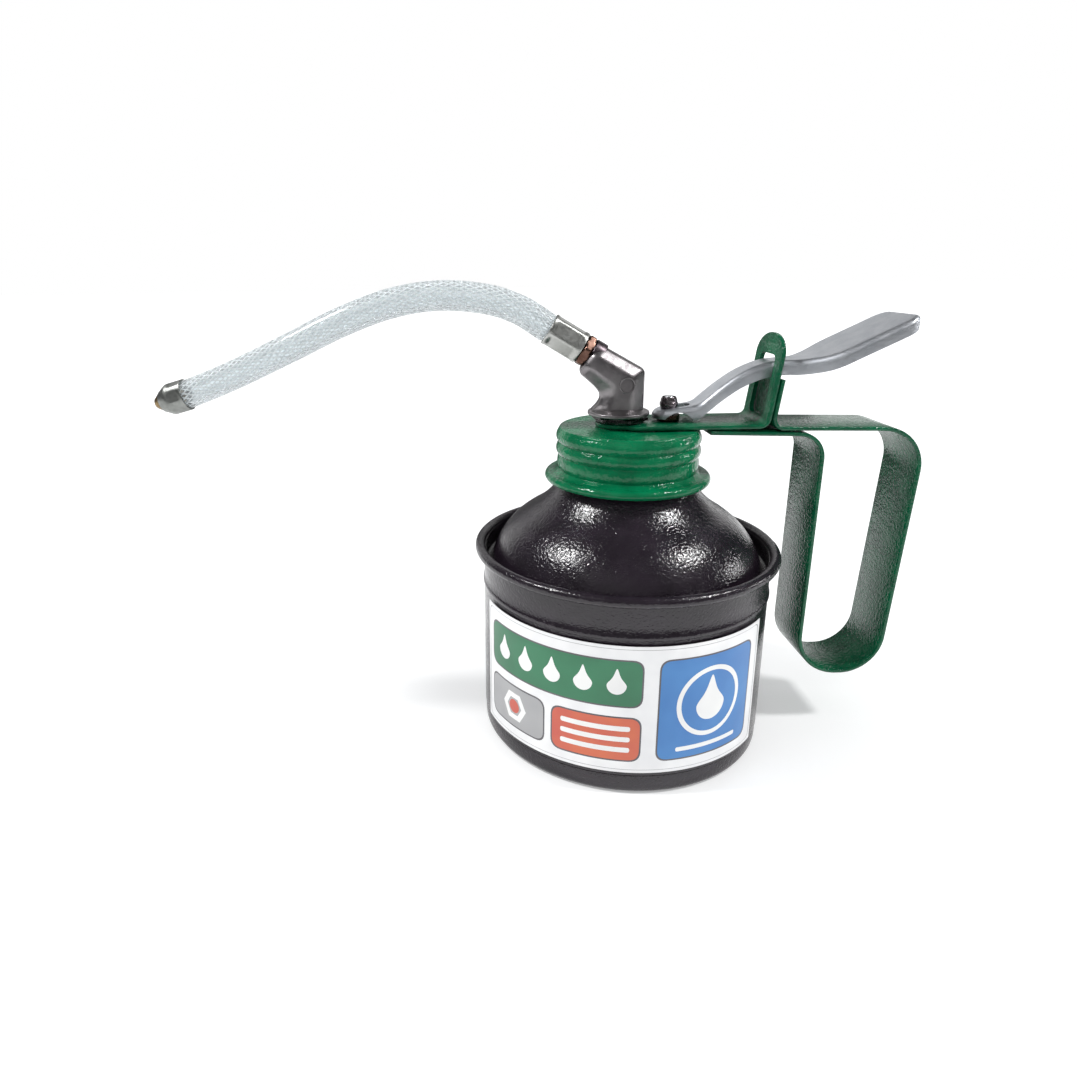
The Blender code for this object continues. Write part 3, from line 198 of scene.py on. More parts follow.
def soften(corners, cut, steps=3, closed=True):
    """Each corner becomes a parabola that starts and ends a cut's length from it."""
    here = np.asarray(corners, float)
    before, after = np.roll(here, 1, 0) - here, np.roll(here, -1, 0) - here
    if not closed:
        before[0] = after[-1] = 0.0
    reach = [np.maximum(np.linalg.norm(way, axis=-1, keepdims=True), 1e-9) for way in (before, after)]
    size = np.minimum(cut, 0.45 * np.minimum(*reach))
    if not closed:
        size[[0, -1]] = 0.0
    t = np.linspace(0.0, 1.0, steps + 1)[None, :, None]
    first = (here + before / reach[0] * size)[:, None]
    last = (here + after / reach[1] * size)[:, None]
    return ((1 - t) ** 2 * first + 2 * t * (1 - t) * here[:, None] + t ** 2 * last).reshape(-1, here.shape[1])


def bow(start, end, rise, count):
    """A shallow parabola from start to end that stands off the chord by rise, to its left."""
    start, end = np.array(start, float), np.array(end, float)
    t = np.linspace(0.0, 1.0, count + 1)[:, None]
    chord = end - start
    left = unit(coords(-chord[1], chord[0]))
    return start + chord * t + left * rise * 4 * t * (1 - t)


def arc(middle, radius, start, end, count):
    """Points of a circle from one angle to another, in degrees."""
    a = np.radians(np.linspace(start, end, count + 1))
    return np.array(middle) + radius * coords(np.cos(a), np.sin(a))


def smooth(points, per_span):
    """A smooth curve through all the points, each stretch a cubic that looks one point back and ahead."""
    p = np.asarray(points, float)
    p = np.vstack([2 * p[0] - p[1], p, 2 * p[-1] - p[-2]])
    a, b, c, d = (p[k:len(p) - 3 + k][:, None] for k in range(4))
    t = (np.arange(per_span) / per_span)[None, :, None]
    bends = (2 * a - 5 * b + 4 * c - d) * t ** 2 / 2 + (3 * b - a - 3 * c + d) * t ** 3 / 2
    return np.vstack([(b + (c - a) * t / 2 + bends).reshape(-1, p.shape[1]), p[-2]])


# %% Helpers: lathe and sweep
def thick(line, wall):
    """A closed outline from an open line: the line, then itself moved by the wall to its right."""
    line = line[np.concatenate([[True], np.linalg.norm(np.diff(line, axis=0), axis=1) > 1e-4])]
    way = unit(np.gradient(line, axis=0))
    inner = line + coords(way[:, 1], -way[:, 0]) * wall
    return np.vstack([line, inner[::-1]])


def around(axis, a):
    """cos a * one side + sin a * the other, where both sides are square to the axis."""
    one = unit(np.cross((0.0, 1.0, 0.0), axis))
    return np.cos(a)[:, None] * one + np.sin(a)[:, None] * np.cross(axis, one)


def lathe(outline, origin, axis=(0, 0, 1), steps=128):
    """origin + axis * h + r * the way round the axis at angle a, for each (r, h) and a."""
    axis = unit(np.array(axis, float))
    outline = np.asarray(outline, float)[..., None, None]
    return np.array(origin) + outline[:, 1] * axis + outline[:, 0] * around(axis, turns(steps))


def turned(name, outline, node, look, x=0.0, steps=160, wrap=True):
    """A piece turned about an upright axis at x. An outline that starts and ends on the axis has no
    need to wrap."""
    return surface(name, [(lathe(outline, (x, 0, 0), steps=steps), wrap)], node, look)


def frames(line):
    """Side and normal along a line that never runs along Y; the side stays near Y."""
    way = unit(np.gradient(line, axis=0))
    side = unit(np.array([0.0, 1.0, 0.0]) - way * way[:, 1:2])
    return side, np.cross(way, side)


def capped(rows):
    """Close a grid at both ends with a row drawn to the middle of its first or last row."""
    first, last = (np.broadcast_to(rows[k].mean(0), rows[k].shape)[None] for k in (0, -1))
    return np.concatenate([first, rows, last])


def sweep(line, section):
    """line + a * side + b * normal for each (a, b) of the section."""
    side, normal = (part[:, None] for part in frames(line))
    return line[:, None] + section[..., :1] * side + section[..., 1:] * normal


print("helpers ready")

# %% [markdown]
# Materials. The tin and the green parts wear a hammered paint: a thick glossy coat that dries in
# small dimples. Its colour is even, and what tells it apart is the way the dimples break up the
# reflections, so the work goes into the bump. Colours are written as they look on a screen and
# turned into light values once.

# %% Helpers: materials
def colour(red, green, blue):
    """Screen values of 0 to 255 to light values: the standard screen curve."""
    c = np.array([red, green, blue]) / 255.0
    return (*np.where(c <= 0.04045, c / 12.92, ((c + 0.055) / 1.055) ** 2.4).tolist(), 1.0)


def shader_of(look):
    return look.node_tree.nodes["Principled BSDF"]


def material(name, base, roughness, metallic=0.0, coat=0.0, transmission=0.0):
    """A principled material with its even values on the shader's own sockets."""
    look = bpy.data.materials.new(name)
    look.use_nodes = True
    for socket, value in (
        ("Base Color", colour(*base)), ("Roughness", roughness), ("Metallic", metallic),
        ("Coat Weight", coat), ("Coat Roughness", 0.08), ("Transmission Weight", transmission),
    ):
        shader_of(look).inputs[socket].default_value = value
    print("material:", name)
    return look


def add_node(look, kind, **values):
    """A new node, with its sockets and settings given by name."""
    node = look.node_tree.nodes.new(kind)
    for key, value in values.items():
        if key in node.inputs:
            node.inputs[key].default_value = value
        else:
            setattr(node, key, value)
    return node


def link(look, a, b):
    look.node_tree.links.new(a, b)


def fed(look, kind, sources, **values):
    """The first output of a new node whose sockets take those sources."""
    node = add_node(look, kind, **values)
    for socket, source in sources.items():
        link(look, source, node.inputs[socket])
    return node.outputs[0]


def place_of(look, stretch=(1, 1, 1)):
    """Coordinates of the piece, stretched so that a pattern can run along it."""
    coordinates = add_node(look, "ShaderNodeTexCoord").outputs["Object"]
    return fed(look, "ShaderNodeMapping", {"Vector": coordinates}, Scale=stretch)


def noise(look, place, scale, detail=2.0, rough=0.5, distortion=0.0):
    return fed(look, "ShaderNodeTexNoise", {"Vector": place}, Scale=scale, Detail=detail, Roughness=rough,
               Distortion=distortion)


def bump(look, height, depth_mm):
    """Let a height move the normal, as dimples of that depth would, on top of what moved it before."""
    normal = shader_of(look).inputs["Normal"]
    sources = {"Height": height, **{"Normal": old.from_socket for old in normal.links}}
    link(look, fed(look, "ShaderNodeBump", sources, Strength=1.0, Distance=depth_mm * MM), normal)


def between(look, height, low, high, socket):
    """A value or screen colour that runs from low to high with a pattern, into a shader's socket."""
    ramp = add_node(look, "ShaderNodeValToRGB")
    for stop, value, position in zip(ramp.color_ramp.elements, (low, high), (0.35, 0.65)):
        stop.color = colour(*value) if isinstance(value, tuple) else (value, value, value, 1.0)
        stop.position = position
    link(look, height, ramp.inputs["Fac"])
    link(look, ramp.outputs["Color"], shader_of(look).inputs[socket])


def tint(look, scale, low, high, detail=2.0):
    """Let the colour wander between two screen colours."""
    between(look, noise(look, place_of(look), scale, detail), low, high, "Base Color")


def grain(look, scale, depth_mm):
    """Cover the whole piece with a fine unevenness."""
    bump(look, noise(look, place_of(look), scale), depth_mm)


# %% Hammered paint, black and green
def hammered(name, base, shade, dimple_mm, depth_mm, gloss):
    """Gloss paint with rounded dimples a millimetre or so across, and a finer ripple on them."""
    look = material(name, base, 0.18)
    shader_of(look).inputs["Specular IOR Level"].default_value = gloss
    place = place_of(look)
    tint(look, 160.0, shade, base)
    between(look, noise(look, place, 420.0, 3.0), 0.12, 0.21, "Roughness")
    bump(look, noise(look, place, 1000.0 / dimple_mm, 1.0, 0.4, 0.8), depth_mm)
    bump(look, noise(look, place, 2600.0 / dimple_mm, 2.0), depth_mm / 5)
    return look


black_paint = hammered("black_hammered_paint", (34, 27, 35), (26, 20, 27), 0.75, 0.13, 0.55)
green_paint = hammered("green_hammered_paint", (3, 108, 68), (2, 90, 56), 1.3, 0.19, 0.34)
strip_paint = hammered("strip_green_paint", (4, 90, 58), (3, 74, 48), 0.9, 0.24, 0.42)

# %% [markdown]
# Metals. The lever is pressed from steel and zinc plated, which leaves a satin face with faint
# lines along it. The elbow is a glossy casting with soft pits. Brass is turned bright; the nipple
# and the gland wear a darker brass all over, painted shade that stands in for the shade they sit
# in. Each gets a fine pattern in its roughness as well as in its bump.

# %% Metals
def metal(name, base, shade, roughness, scale, depth_mm, stretch=(1, 1, 1)):
    """A metal whose roughness and colour wander a little, with fine marks along one direction."""
    look = material(name, base, roughness, metallic=1.0)
    marks = noise(look, place_of(look, stretch), scale, 3.0, 0.6)
    between(look, marks, roughness - 0.07, roughness + 0.09, "Roughness")
    tint(look, 240.0, shade, base, 3.0)
    bump(look, marks, depth_mm)
    return look


plated_steel = metal("satin_zinc_plate", (206, 209, 214), (194, 198, 204), 0.42, 2600, 0.006, (0.12, 1, 1))
cast_metal = metal("satin_casting", (132, 129, 130), (120, 116, 118), 0.37, 700, 0.002)
brass = metal("turned_brass", (196, 158, 104), (160, 120, 72), 0.28, 2400, 0.006, (1, 1, 0.2))
# A darker copy of brass for the nipple and the gland: painted shade, standing in for the shade they sit in.
shade_painted_brass = metal("brass_with_painted_shade", (116, 90, 79), (72, 50, 43), 0.32, 500, 0.006)
bright_sleeve = metal("bright_crimped_sleeve", (182, 183, 180), (166, 167, 163), 0.36, 1200, 0.003)
collar_metal = metal("dark_collar", (92, 84, 88), (66, 59, 63), 0.32, 700, 0.004)
dull_sleeve = metal("dull_crimped_sleeve", (142, 144, 141), (120, 122, 119), 0.40, 1200, 0.008)
tip_brass = metal("tip_brass", (142, 120, 80), (104, 84, 54), 0.36, 900, 0.008)
dark_steel = metal("dark_steel", (112, 105, 108), (78, 71, 75), 0.27, 900, 0.008)
bright_steel = metal("bright_steel", (200, 202, 206), (184, 186, 190), 0.24, 2600, 0.005, (1, 1, 0.15))

# %% [markdown]
# The hose is a clear plastic tube with a white braid inside its wall. It could be one painted tube,
# but then the braid would lie on the skin. Here the tube is a real wall with its bore, milky enough
# to carry light, and the yarns are thin ribbons wound both ways in the middle of that wall.

# %% Clear hose and yarn materials
clear_wall = material("clear_hose_wall", (240, 245, 247), 0.12, transmission=0.86)
shader_of(clear_wall).inputs["IOR"].default_value = 1.40
grain(clear_wall, 900.0, 0.02)
yarn_white = material("white_yarn", (240, 242, 242), 0.6)
tint(yarn_white, 2500.0, (222, 227, 229), (246, 247, 247))

# %% [markdown]
# The spout leaves the elbow up and to the left, turned a few degrees towards the back, rises in one
# arch and comes down to its small nozzle. Its line is that of the CAD model, a hair lower at the
# crest, so that the round wall stays inside the CAD model's box. Both sleeves press the hose thinner.

# %% Spout axes and the hose's line
ELBOW_X, DECK, CORNER_RISE, LEG_L, LEG_OFFSET = -2.6, 95.1, 11.75, 10.6, 1.2
TURN, LEG_RISE, SPOUT_RISE, TIP_TURN, TIP_DROP = np.radians([6.0, 35.5, 31.0, 5.0, 16.0])


def leftward(turn, rise):
    """The way to the left, turned towards the back and then raised."""
    return np.array([-math.cos(rise) * math.cos(turn), math.cos(rise) * math.sin(turn), math.sin(rise)])


spout_way, spout_axis = leftward(TURN, 0.0), leftward(TURN, SPOUT_RISE)
tip_way = leftward(TIP_TURN, -TIP_DROP)
spout_side = np.array([-math.sin(TURN), -math.cos(TURN), 0.0])
upward = np.array([0.0, 0.0, 1.0])
leg_end = np.array([ELBOW_X, 0.0, DECK + CORNER_RISE]) + leftward(TURN, LEG_RISE) * LEG_L
spout_start = leg_end - leftward(TURN, LEG_RISE - math.pi / 2) * LEG_OFFSET
FERRULE_FROM, FERRULE_TO, HOSE_FROM, TIP_DEPTH, STUB = 4.2, 14.9, 5.1, 5.4, 0.8
spout_exit = spout_start + spout_axis * FERRULE_TO
ROUTE = np.array([
    (-8.6, 0.7, 5.35), (-18.6, 1.0, 8.45), (-32.0, 1.4, 9.38), (-45.4, 1.9, 7.25), (-59.2, 2.6, 2.35),
    (-73.4, 3.6, -4.25), (-88.1, 5.0, -10.95), (-97.6, 5.8, -14.85), (-106.4, 6.5, -18.05),
])
tip_start = spout_exit + ROUTE[-1]
free_line = np.vstack([spout_exit + spout_axis * STUB, spout_exit + ROUTE[:-1], tip_start - tip_way * STUB])
NEAR_ROWS, TIP_ROWS = 12, 7
first_end = spout_start + spout_axis * np.linspace(HOSE_FROM, FERRULE_TO, NEAR_ROWS)[:, None]
last_end = tip_start + tip_way * np.linspace(0.0, TIP_DEPTH, TIP_ROWS)[:, None]
hose_line = np.vstack([first_end, smooth(free_line, 11), last_end])
hose_length = float(walk(hose_line)[-1])
print("hose length, mm:", round(hose_length, 1), "points:", len(hose_line))

# %% Hose wall
HOSE_R, CRIMPED_R, HOSE_BORE_R = 4.2, 3.85, 2.5
crimped = np.ones(len(hose_line))
crimped[:NEAR_ROWS] = crimped[-TIP_ROWS:] = CRIMPED_R / HOSE_R
circle = coords(np.cos(turns(40)), np.sin(turns(40)))
outside = sweep(hose_line, circle * (HOSE_R * crimped)[:, None, None])
bore = sweep(hose_line, circle * HOSE_BORE_R)
clear_hose = surface("clear_hose", [(np.vstack([outside, bore[::-1]]), True)], "spout_hose", clear_wall)

# %% Braid in the wall
YARNS, LAY, YARN_HALF, YARN_T, INNER_R, OUTER_R = 16, 44.0, 0.19, 0.05, 3.30, 3.52
travel = np.linspace(0.0, 1.0, 190) * (hose_length - 1.0) + 0.5
yarn_line = taken(hose_line, travel)
shrink = np.interp(travel, walk(hose_line), crimped)
yarn_side, yarn_normal = frames(yarn_line)


def yarns(hand, radius):
    """Ribbons wound on a cylinder: the angle grows with the travel, a full turn for each lay."""
    angle = turns(YARNS)[:, None, None] + hand * 2 * np.pi * travel[:, None] / LAY
    out = np.cos(angle) * yarn_side + np.sin(angle) * yarn_normal
    sideways = np.cos(angle) * yarn_normal - np.sin(angle) * yarn_side
    middle = yarn_line + out * (radius * shrink)[:, None]
    section = np.array([(1, 0), (0.6, 1), (-0.6, 1), (-1, 0), (-0.6, -1), (0.6, -1)]) * [YARN_HALF, YARN_T]
    rows = middle[:, :, None] + section[:, :1] * sideways[:, :, None] + section[:, 1:] * out[:, :, None]
    return [(capped(ribbon), False) for ribbon in rows]


braid = surface("hose_braid", yarns(1, INNER_R) + yarns(-1, OUTER_R), "spout_hose", yarn_white)

# %% [markdown]
# The free end of the hose wears a small crimped sleeve, drawn in to a round face, and a brass
# nozzle stands out of it. The near end has a longer sleeve with flats from the crimping jaws.

# %% Sleeves and nozzle
SLEEVE_R, CRIMP_FADE, UNPRESSED_R, FLATS = 4.65, 0.8, 4.3, 6


def sleeve(outline, extra, after, origin, axis, start, end, half_flat, turn):
    """A turned sleeve with flats pressed into it: between start and end no point lies farther out than
    a flat at half_flat from the axis, and the press fades in and out over CRIMP_FADE. Extra rows along
    its outside, put in after so many points of the outline, let the flats show."""
    grid = lathe(np.vstack([outline[:after], coords(SLEEVE_R, extra), outline[after:]]), origin, axis, 96)
    rel = grid - origin
    h = rel @ axis
    radial = rel - h[..., None] * axis
    radius = np.linalg.norm(radial, axis=-1)
    window = np.clip((h - start) / CRIMP_FADE, 0, 1) * np.clip((end - h) / CRIMP_FADE, 0, 1)
    a = turns(grid.shape[1]) + 2 * np.pi * turn
    local = (a + np.pi / FLATS) % (2 * np.pi / FLATS) - np.pi / FLATS
    pressed = np.minimum(radius, half_flat / np.cos(local)[None])
    target = np.where(radius > UNPRESSED_R, radius + (pressed - radius) * window, radius)
    return origin + h[..., None] * axis + radial * (target / np.maximum(radius, 1e-9))[..., None]


near = soften([
    (SLEEVE_R, FERRULE_TO), (SLEEVE_R, FERRULE_FROM), (2.5, FERRULE_FROM), (2.5, FERRULE_FROM + 0.6),
    (4.15, FERRULE_FROM + 0.6), (4.15, FERRULE_TO),
], 0.25)
near = sleeve(near, np.linspace(FERRULE_TO - 0.4, FERRULE_FROM + 0.4, 26), 4, spout_start, spout_axis,
              5.2, 14.2, 4.22, 0.03)
surface("near_sleeve", [(near, True)], "hose_ferrule", bright_sleeve)
tip = soften([
    (2.5, 7.1), (3.0, 7.1), (SLEEVE_R, 4.3), (SLEEVE_R, -1.0), (4.2, -1.0), (4.2, 4.4), (2.5, 5.7),
], 0.5)
tip = sleeve(tip, np.linspace(3.6, -0.4, 14), 12, tip_start, tip_way, -0.6, 3.4, 4.36, 0.05)
tip_sleeve = surface("tip_sleeve", [(tip, True)], "tip_ferrule", dull_sleeve)
nose = soften([(0.8, 9.0), (1.5, 9.0), (2.8, 7.15), (2.2, 7.15), (2.2, 1.5), (1.9, 0.0), (0.8, 0.0)], 0.2)
nose = lathe(nose, tip_start, tip_way, 64)
tip_nose = surface("tip_nose", [(nose, True)], "tip_nozzle", tip_brass)

# %% [markdown]
# The tin. Its wall is one sheet with a bead, curled outwards and down at the rim. The bottom is
# pressed with a round corner and a low band. The shoulder stands inside the rim, dips in a trough,
# rises as a dome and ends in the threaded neck. Each is an outline of the sheet's outer face, given
# the sheet's thickness, and turned.

# %% Tin wall, base and shoulder
BODY_R, SHEET, RIM_R, RIM_Z, CURL_R = 42.4, 0.5, 43.5, 57.5, 1.03
wall_line = np.vstack([
    arc((RIM_R, RIM_Z), CURL_R, -60, 180, 28), coords(BODY_R, [54.0, 50.0]),
    bow((BODY_R, 47.9), (BODY_R, 46.1), 0.35, 10), coords(BODY_R, [40.0, 25.0, 12.0, 6.0]),
])
turned("tin_wall", thick(wall_line, SHEET), "can_body", black_paint)
CORNER_AT, CORNER_R = (40.2, 2.0), 2.0
base_outline = np.vstack([
    [(0.0, SHEET), (40.2, SHEET)], arc(CORNER_AT, CORNER_R - SHEET, -90, 0, 8),
    [(41.7, 5.2), (41.1, 5.4), (41.1, 9.7), (41.6, 9.7), (41.6, 5.75), (42.15, 5.7), (42.2, 5.6)],
    arc(CORNER_AT, CORNER_R, 0, -90, 10), [(20.0, 0.0), (0.0, 0.0)],
])
turned("tin_base", base_outline, "can_base", black_paint, wrap=False)
NECK_R, CREST_R, NECK_TOP, DOME_TOP = 18.6, 19.2, 91.0, (28.4, 68.7)
ridge_angle = np.linspace(-np.pi, np.pi, 13)
ridge_r = NECK_R + (CREST_R - NECK_R) * (0.5 + 0.5 * np.cos(ridge_angle))
ridges = [coords(ridge_r, z - ridge_angle / np.pi) for z in (87.35, 83.65)]
flare = bow((NECK_R, 79.5), DOME_TOP, -1.1, 14)
dome = bow(DOME_TOP, (40.3, 52.5), 2.2, 16)
shoulder_line = np.vstack([
    [(NECK_R, NECK_TOP), (NECK_R, 89.6)], *ridges,
    soften(np.vstack([flare[::2], dome[1::2]]), 2.0, 2, closed=False),
    [(40.8, 52.4), (41.5, 52.8), (41.75, 53.4), (41.82, 57.3)],
])
turned("tin_shoulder", thick(shoulder_line, SHEET), "can_shoulder", black_paint)

# %% [markdown]
# The label is a printed film round the front. Its colours and the size of its panels follow the
# photograph, and its layout and motifs are plain ones of our own: drops, a nut, a ring and bars.
# Each print is a flat outline shrunk in rings towards its middle and wrapped on the tin, so its
# edges stay crisp at any distance, where a painted texture would need many pixels.

# %% Label film
FRONT = math.radians(-103.0)
FILM_R, FILM_T, LOW, HIGH, HALF_LABEL = 42.88, 0.16, 7.2, 44.9, 46.4


def on_tin(flat, radius):
    """A flat point (a, z) goes to the angle a / FILM_R from the front, at its own height."""
    angle = FRONT + flat[..., 0] / FILM_R
    return coords(radius * np.cos(angle), radius * np.sin(angle), flat[..., 1])


film_loop = np.array([(FILM_R, LOW), (FILM_R, HIGH), (FILM_R - FILM_T, HIGH), (FILM_R - FILM_T, LOW)])
film_flat = coords(np.linspace(-HALF_LABEL, HALF_LABEL, 81)[:, None], film_loop[:, 1])
white_film = material("white_label_film", (236, 236, 236), 0.34, coat=0.2)
tint(white_film, 120.0, (229, 229, 230), (239, 239, 239))
grain(white_film, 500.0, 0.02)
film = capped(on_tin(film_flat, film_loop[:, 0]))
surface("label_film", [(film, False)], "label", white_film)

# %% Label prints
def ink(name, base, shade):
    look = material(name, base, 0.36, coat=0.15)
    tint(look, 90.0, shade, base)
    grain(look, 500.0, 0.02)
    return look


INKS = [
    ink("ink_white", (238, 238, 236), (230, 230, 229)), ink("ink_green", (46, 118, 82), (40, 108, 74)),
    ink("ink_grey", (168, 168, 169), (158, 158, 160)), ink("ink_red", (196, 88, 72), (206, 104, 70)),
    ink("ink_blue", (66, 128, 190), (58, 118, 182)), ink("ink_dark", (92, 90, 94), (80, 78, 82)),
]
WHITE, GREEN, GREY, RED, BLUE, DARK = range(6)


def block(middle, width, height, corner):
    """The outline of a rectangle with round corners."""
    w, h = width / 2, height / 2
    return np.array(middle) + soften([(w, h), (-w, h), (-w, -h), (w, -h)], corner, 6)


def drop(middle, size):
    """A drop: a circle whose upper part is drawn to a point by a high power of the sine."""
    a = turns(48)
    high = np.maximum(np.sin(a), 0.0)
    return np.array(middle) + size * coords(np.cos(a) * (1 - 0.55 * high ** 1.5), np.sin(a) + 0.9 * high ** 6)


def many_sided(middle, radius, sides, turn=0.0):
    a = turns(sides) + turn
    return np.array(middle) + radius * coords(np.cos(a), np.sin(a))


def printed(outline, number, lift=0.05, hole=0.0, rings=9):
    """Rings of an outline from its rim towards its middle, wrapped on the film and lifted a little.
    The outline is walked in short even steps first, so that its long sides follow the curve."""
    loop = np.vstack([outline, outline[:1]])
    walked = walk(loop)
    outline = taken(loop, np.unique(np.concatenate([walked, np.arange(0.0, walked[-1], 1.6)]))[:-1])
    middle = (outline.min(0) + outline.max(0)) / 2
    share = np.linspace(1.0, hole, rings)[:, None, None]
    return (on_tin(middle + (outline - middle) * share, FILM_R + lift), False, number)


prints = []
for middle, width, height, number in (
    ((-18.0, 34.0), 50.0, 14.0, GREEN), ((-31.5, 17.4), 23.0, 13.6, GREY), ((-5.5, 17.4), 25.0, 13.6, RED),
    ((26.5, 25.9), 31.0, 30.4, BLUE),
):
    prints.append(printed(block(middle, width, height, 3.2), DARK, 0.02, rings=30))
    prints.append(printed(block(middle, width - 0.9, height - 0.9, 2.9), number, 0.035, rings=30))
prints += [
    *(printed(drop((a, 33.4), 2.6), WHITE) for a in (-36.0, -27.0, -18.0, -9.0, 0.0)),
    printed(many_sided((-31.5, 17.4), 4.9, 6), WHITE, hole=0.62, rings=3),
    printed(many_sided((-31.5, 17.4), 2.1, 40), RED),
    *(printed(block((-5.5, z), 19.0, 1.5, 0.7), WHITE) for z in (20.6, 17.4, 14.2)),
    printed(many_sided((26.5, 27.0), 10.4, 60), WHITE, hole=0.87, rings=3),
    printed(drop((26.5, 26.0), 4.6), WHITE), printed(block((26.5, 13.9), 20.0, 1.3, 0.6), WHITE),
    printed(block((0.0, 26.05), 91.0, 36.0, 2.0), GREY, 0.008, 0.992, 2),
]
surface("label_prints", prints, "label", INKS, closed=False)

# %% [markdown]
# The screw cap is pressed from one sheet: a flat top, a skirt with two beads that hold the thread,
# a waist, and a flare that ends in a rolled lip. Holes for the elbow's stem and the gland go
# through its top, under the strip.

# %% Screw cap
CAP_TOP, CAP_R, CAP_SHEET = 93.6, 20.1, 0.6
cap_line = np.vstack([
    [(7.0, CAP_TOP), (16.0, CAP_TOP), (19.1, CAP_TOP)],
    arc((19.4, CAP_TOP - 0.7), 0.7, 80, 10, 5),
    bow((CAP_R, 92.9), (CAP_R, 89.2), 0.75, 14)[1:], bow((CAP_R, 89.2), (CAP_R, 85.5), 0.75, 14)[1:],
    bow((CAP_R, 85.5), (CAP_R, 81.4), 0.375, 8)[1:], bow((CAP_R, 81.4), (22.7, 80.4), -0.3, 6)[1:],
    arc((22.7, 79.1), 1.3, 80, -140, 20),
])
cap_outline = np.vstack([[(0.0, CAP_TOP)], thick(cap_line, CAP_SHEET), [(0.0, CAP_TOP - CAP_SHEET)]])
cap_shell = turned("cap_shell", cap_outline, "screw_cap", green_paint, wrap=False)


def tool(grid):
    """A closed cutting body that is used once and then thrown away."""
    mesh = bpy.data.meshes.new("tool")
    cells, _ = quads(*grid.shape[:2])
    mesh.from_pydata((grid.reshape(-1, 3) * MM).tolist(), [], cells.tolist())
    clean(mesh)
    return stand("tool", mesh)


def cut(piece, *grids):
    """Take each cutting body out of the piece, and keep the result as its mesh."""
    tools = [tool(grid) for grid in grids]
    for item in tools:
        step = piece.modifiers.new("cut", "BOOLEAN")
        step.object = item
        step.solver = "EXACT"
    bpy.context.view_layer.update()
    result = bpy.data.meshes.new_from_object(piece.evaluated_get(bpy.context.evaluated_depsgraph_get()))
    piece.modifiers.clear()
    piece.data = result
    for item in tools:
        bpy.data.objects.remove(item)
    print(piece.name, "faces after its holes:", len(result.polygons))


def rod(x, low, high, radius):
    """A closed upright cylinder as a grid."""
    return lathe([(0, low), (radius, low), (radius, high), (0, high)], (x, 0.0, 0.0), steps=48)


PUMP_X, STEM_HOLE, GLAND_HOLE = 11.5, 4.3, 3.2


def stem_holes(low, high):
    """The cutting bodies for the elbow's stem and for the gland."""
    return rod(ELBOW_X, low, high, STEM_HOLE), rod(PUMP_X, low, high, GLAND_HOLE)


cut(cap_shell, *stem_holes(92.0, 95.0))

# %% [markdown]
# Two strips of steel, 19 mm wide, make the handle. The guide strip lies on the cap, turns up and
# carries the lever's slot. The grip strip stands back to back with it, runs out, goes down round
# the grip, and comes back under the guide strip. Both are a rounded section carried along a line
# whose corners are arcs.

# %% Strips
LEAN, GUIDE_REACH = math.radians(7.4), 37.4
LEVEL, BEND_STEP, RUN_STEP = DECK - 0.6, 0.45, 1.5


def guide_x(height):
    return GUIDE_REACH + (height - LEVEL) * math.tan(LEAN)


def bent(corners):
    """A line through (x, z, bend radius) corners: each corner is replaced by the arc that touches both
    its sides, and straight runs are cut into short steps."""
    c = np.array([(x, z) for x, z, _ in corners])
    pieces = [c[:1]]
    for before, here, after, (_, _, radius) in zip(c, c[1:], c[2:], corners[1:]):
        a, b = unit(before - here), unit(after - here)
        half = math.acos(np.clip(a @ b, -1, 1)) / 2
        middle = here + unit(a + b) * radius / math.sin(half)
        p, q = (here + way * radius / math.tan(half) - middle for way in (a, b))
        turn = math.atan2(p[0] * q[1] - p[1] * q[0], p @ q)
        t = np.linspace(0, turn, max(4, int(abs(turn) * radius / BEND_STEP)))[:, None]
        pieces.append(middle + p * np.cos(t) + np.array([-p[1], p[0]]) * np.sin(t))
    line = np.vstack(pieces + [c[-1:]])
    steps = walk(line)
    return taken(line, np.unique(np.concatenate([steps, np.arange(0, steps[-1], RUN_STEP)])))


STRIP_T = 1.2


def strip(line, half):
    """Sweep a flat section with round edges along a line in the XZ plane; half is its half width."""
    r = STRIP_T * 0.42
    edge = np.radians([-80, -45, -10, 10, 45, 80])
    inner = np.maximum(np.broadcast_to(half, (len(line),)) - r, 0.0)[:, None]
    side = coords(inner + np.cos(edge) * r, np.sin(edge) * r + np.sign(edge) * (STRIP_T / 2 - r))
    return capped(sweep(coords(line[:, 0], 0.0, line[:, 1]), np.hstack([side, -side])))


ROUND_Z, TOP_ROUND, HALF_STRIP, EYE_R = 113.8, 6.0, 9.5, 7.0
eye_a = np.radians(np.linspace(4, 90, 16))
eye = coords(ELBOW_X - EYE_R * np.cos(eye_a), LEVEL)
widen = np.linspace(0, 1, 8)[1:]
collar = coords(ELBOW_X + 4.3 * widen, LEVEL)
collar_half = EYE_R + (HALF_STRIP - EYE_R) * np.sin(widen * np.pi / 2)
main = bent([(2.2, LEVEL, 0), (guide_x(LEVEL), LEVEL, 2.5), (guide_x(ROUND_Z), ROUND_Z, 0)])
crown_a = np.radians(np.linspace(5, 87, 18))
crown_z = ROUND_Z + TOP_ROUND * np.sin(crown_a)
guide_line = np.vstack([eye, collar, main, coords(guide_x(crown_z), crown_z)])
guide_half = np.concatenate([
    EYE_R * np.sin(eye_a), collar_half, np.full(len(main), HALF_STRIP), HALF_STRIP * np.cos(crown_a),
])
lever_guide = surface("lever_guide", [(strip(guide_line, guide_half), False)], "guide_strip", strip_paint)
slot_y, slot_z = soften([(-5.3, 96.6), (5.3, 96.6), (5.3, 114.0), (-5.3, 114.0)], 2.0, 5).T
slot_tool = capped(np.stack([coords(x, slot_y, slot_z) for x in (30.0, 50.0)]))
cut(lever_guide, slot_tool, *stem_holes(93.0, 96.0))

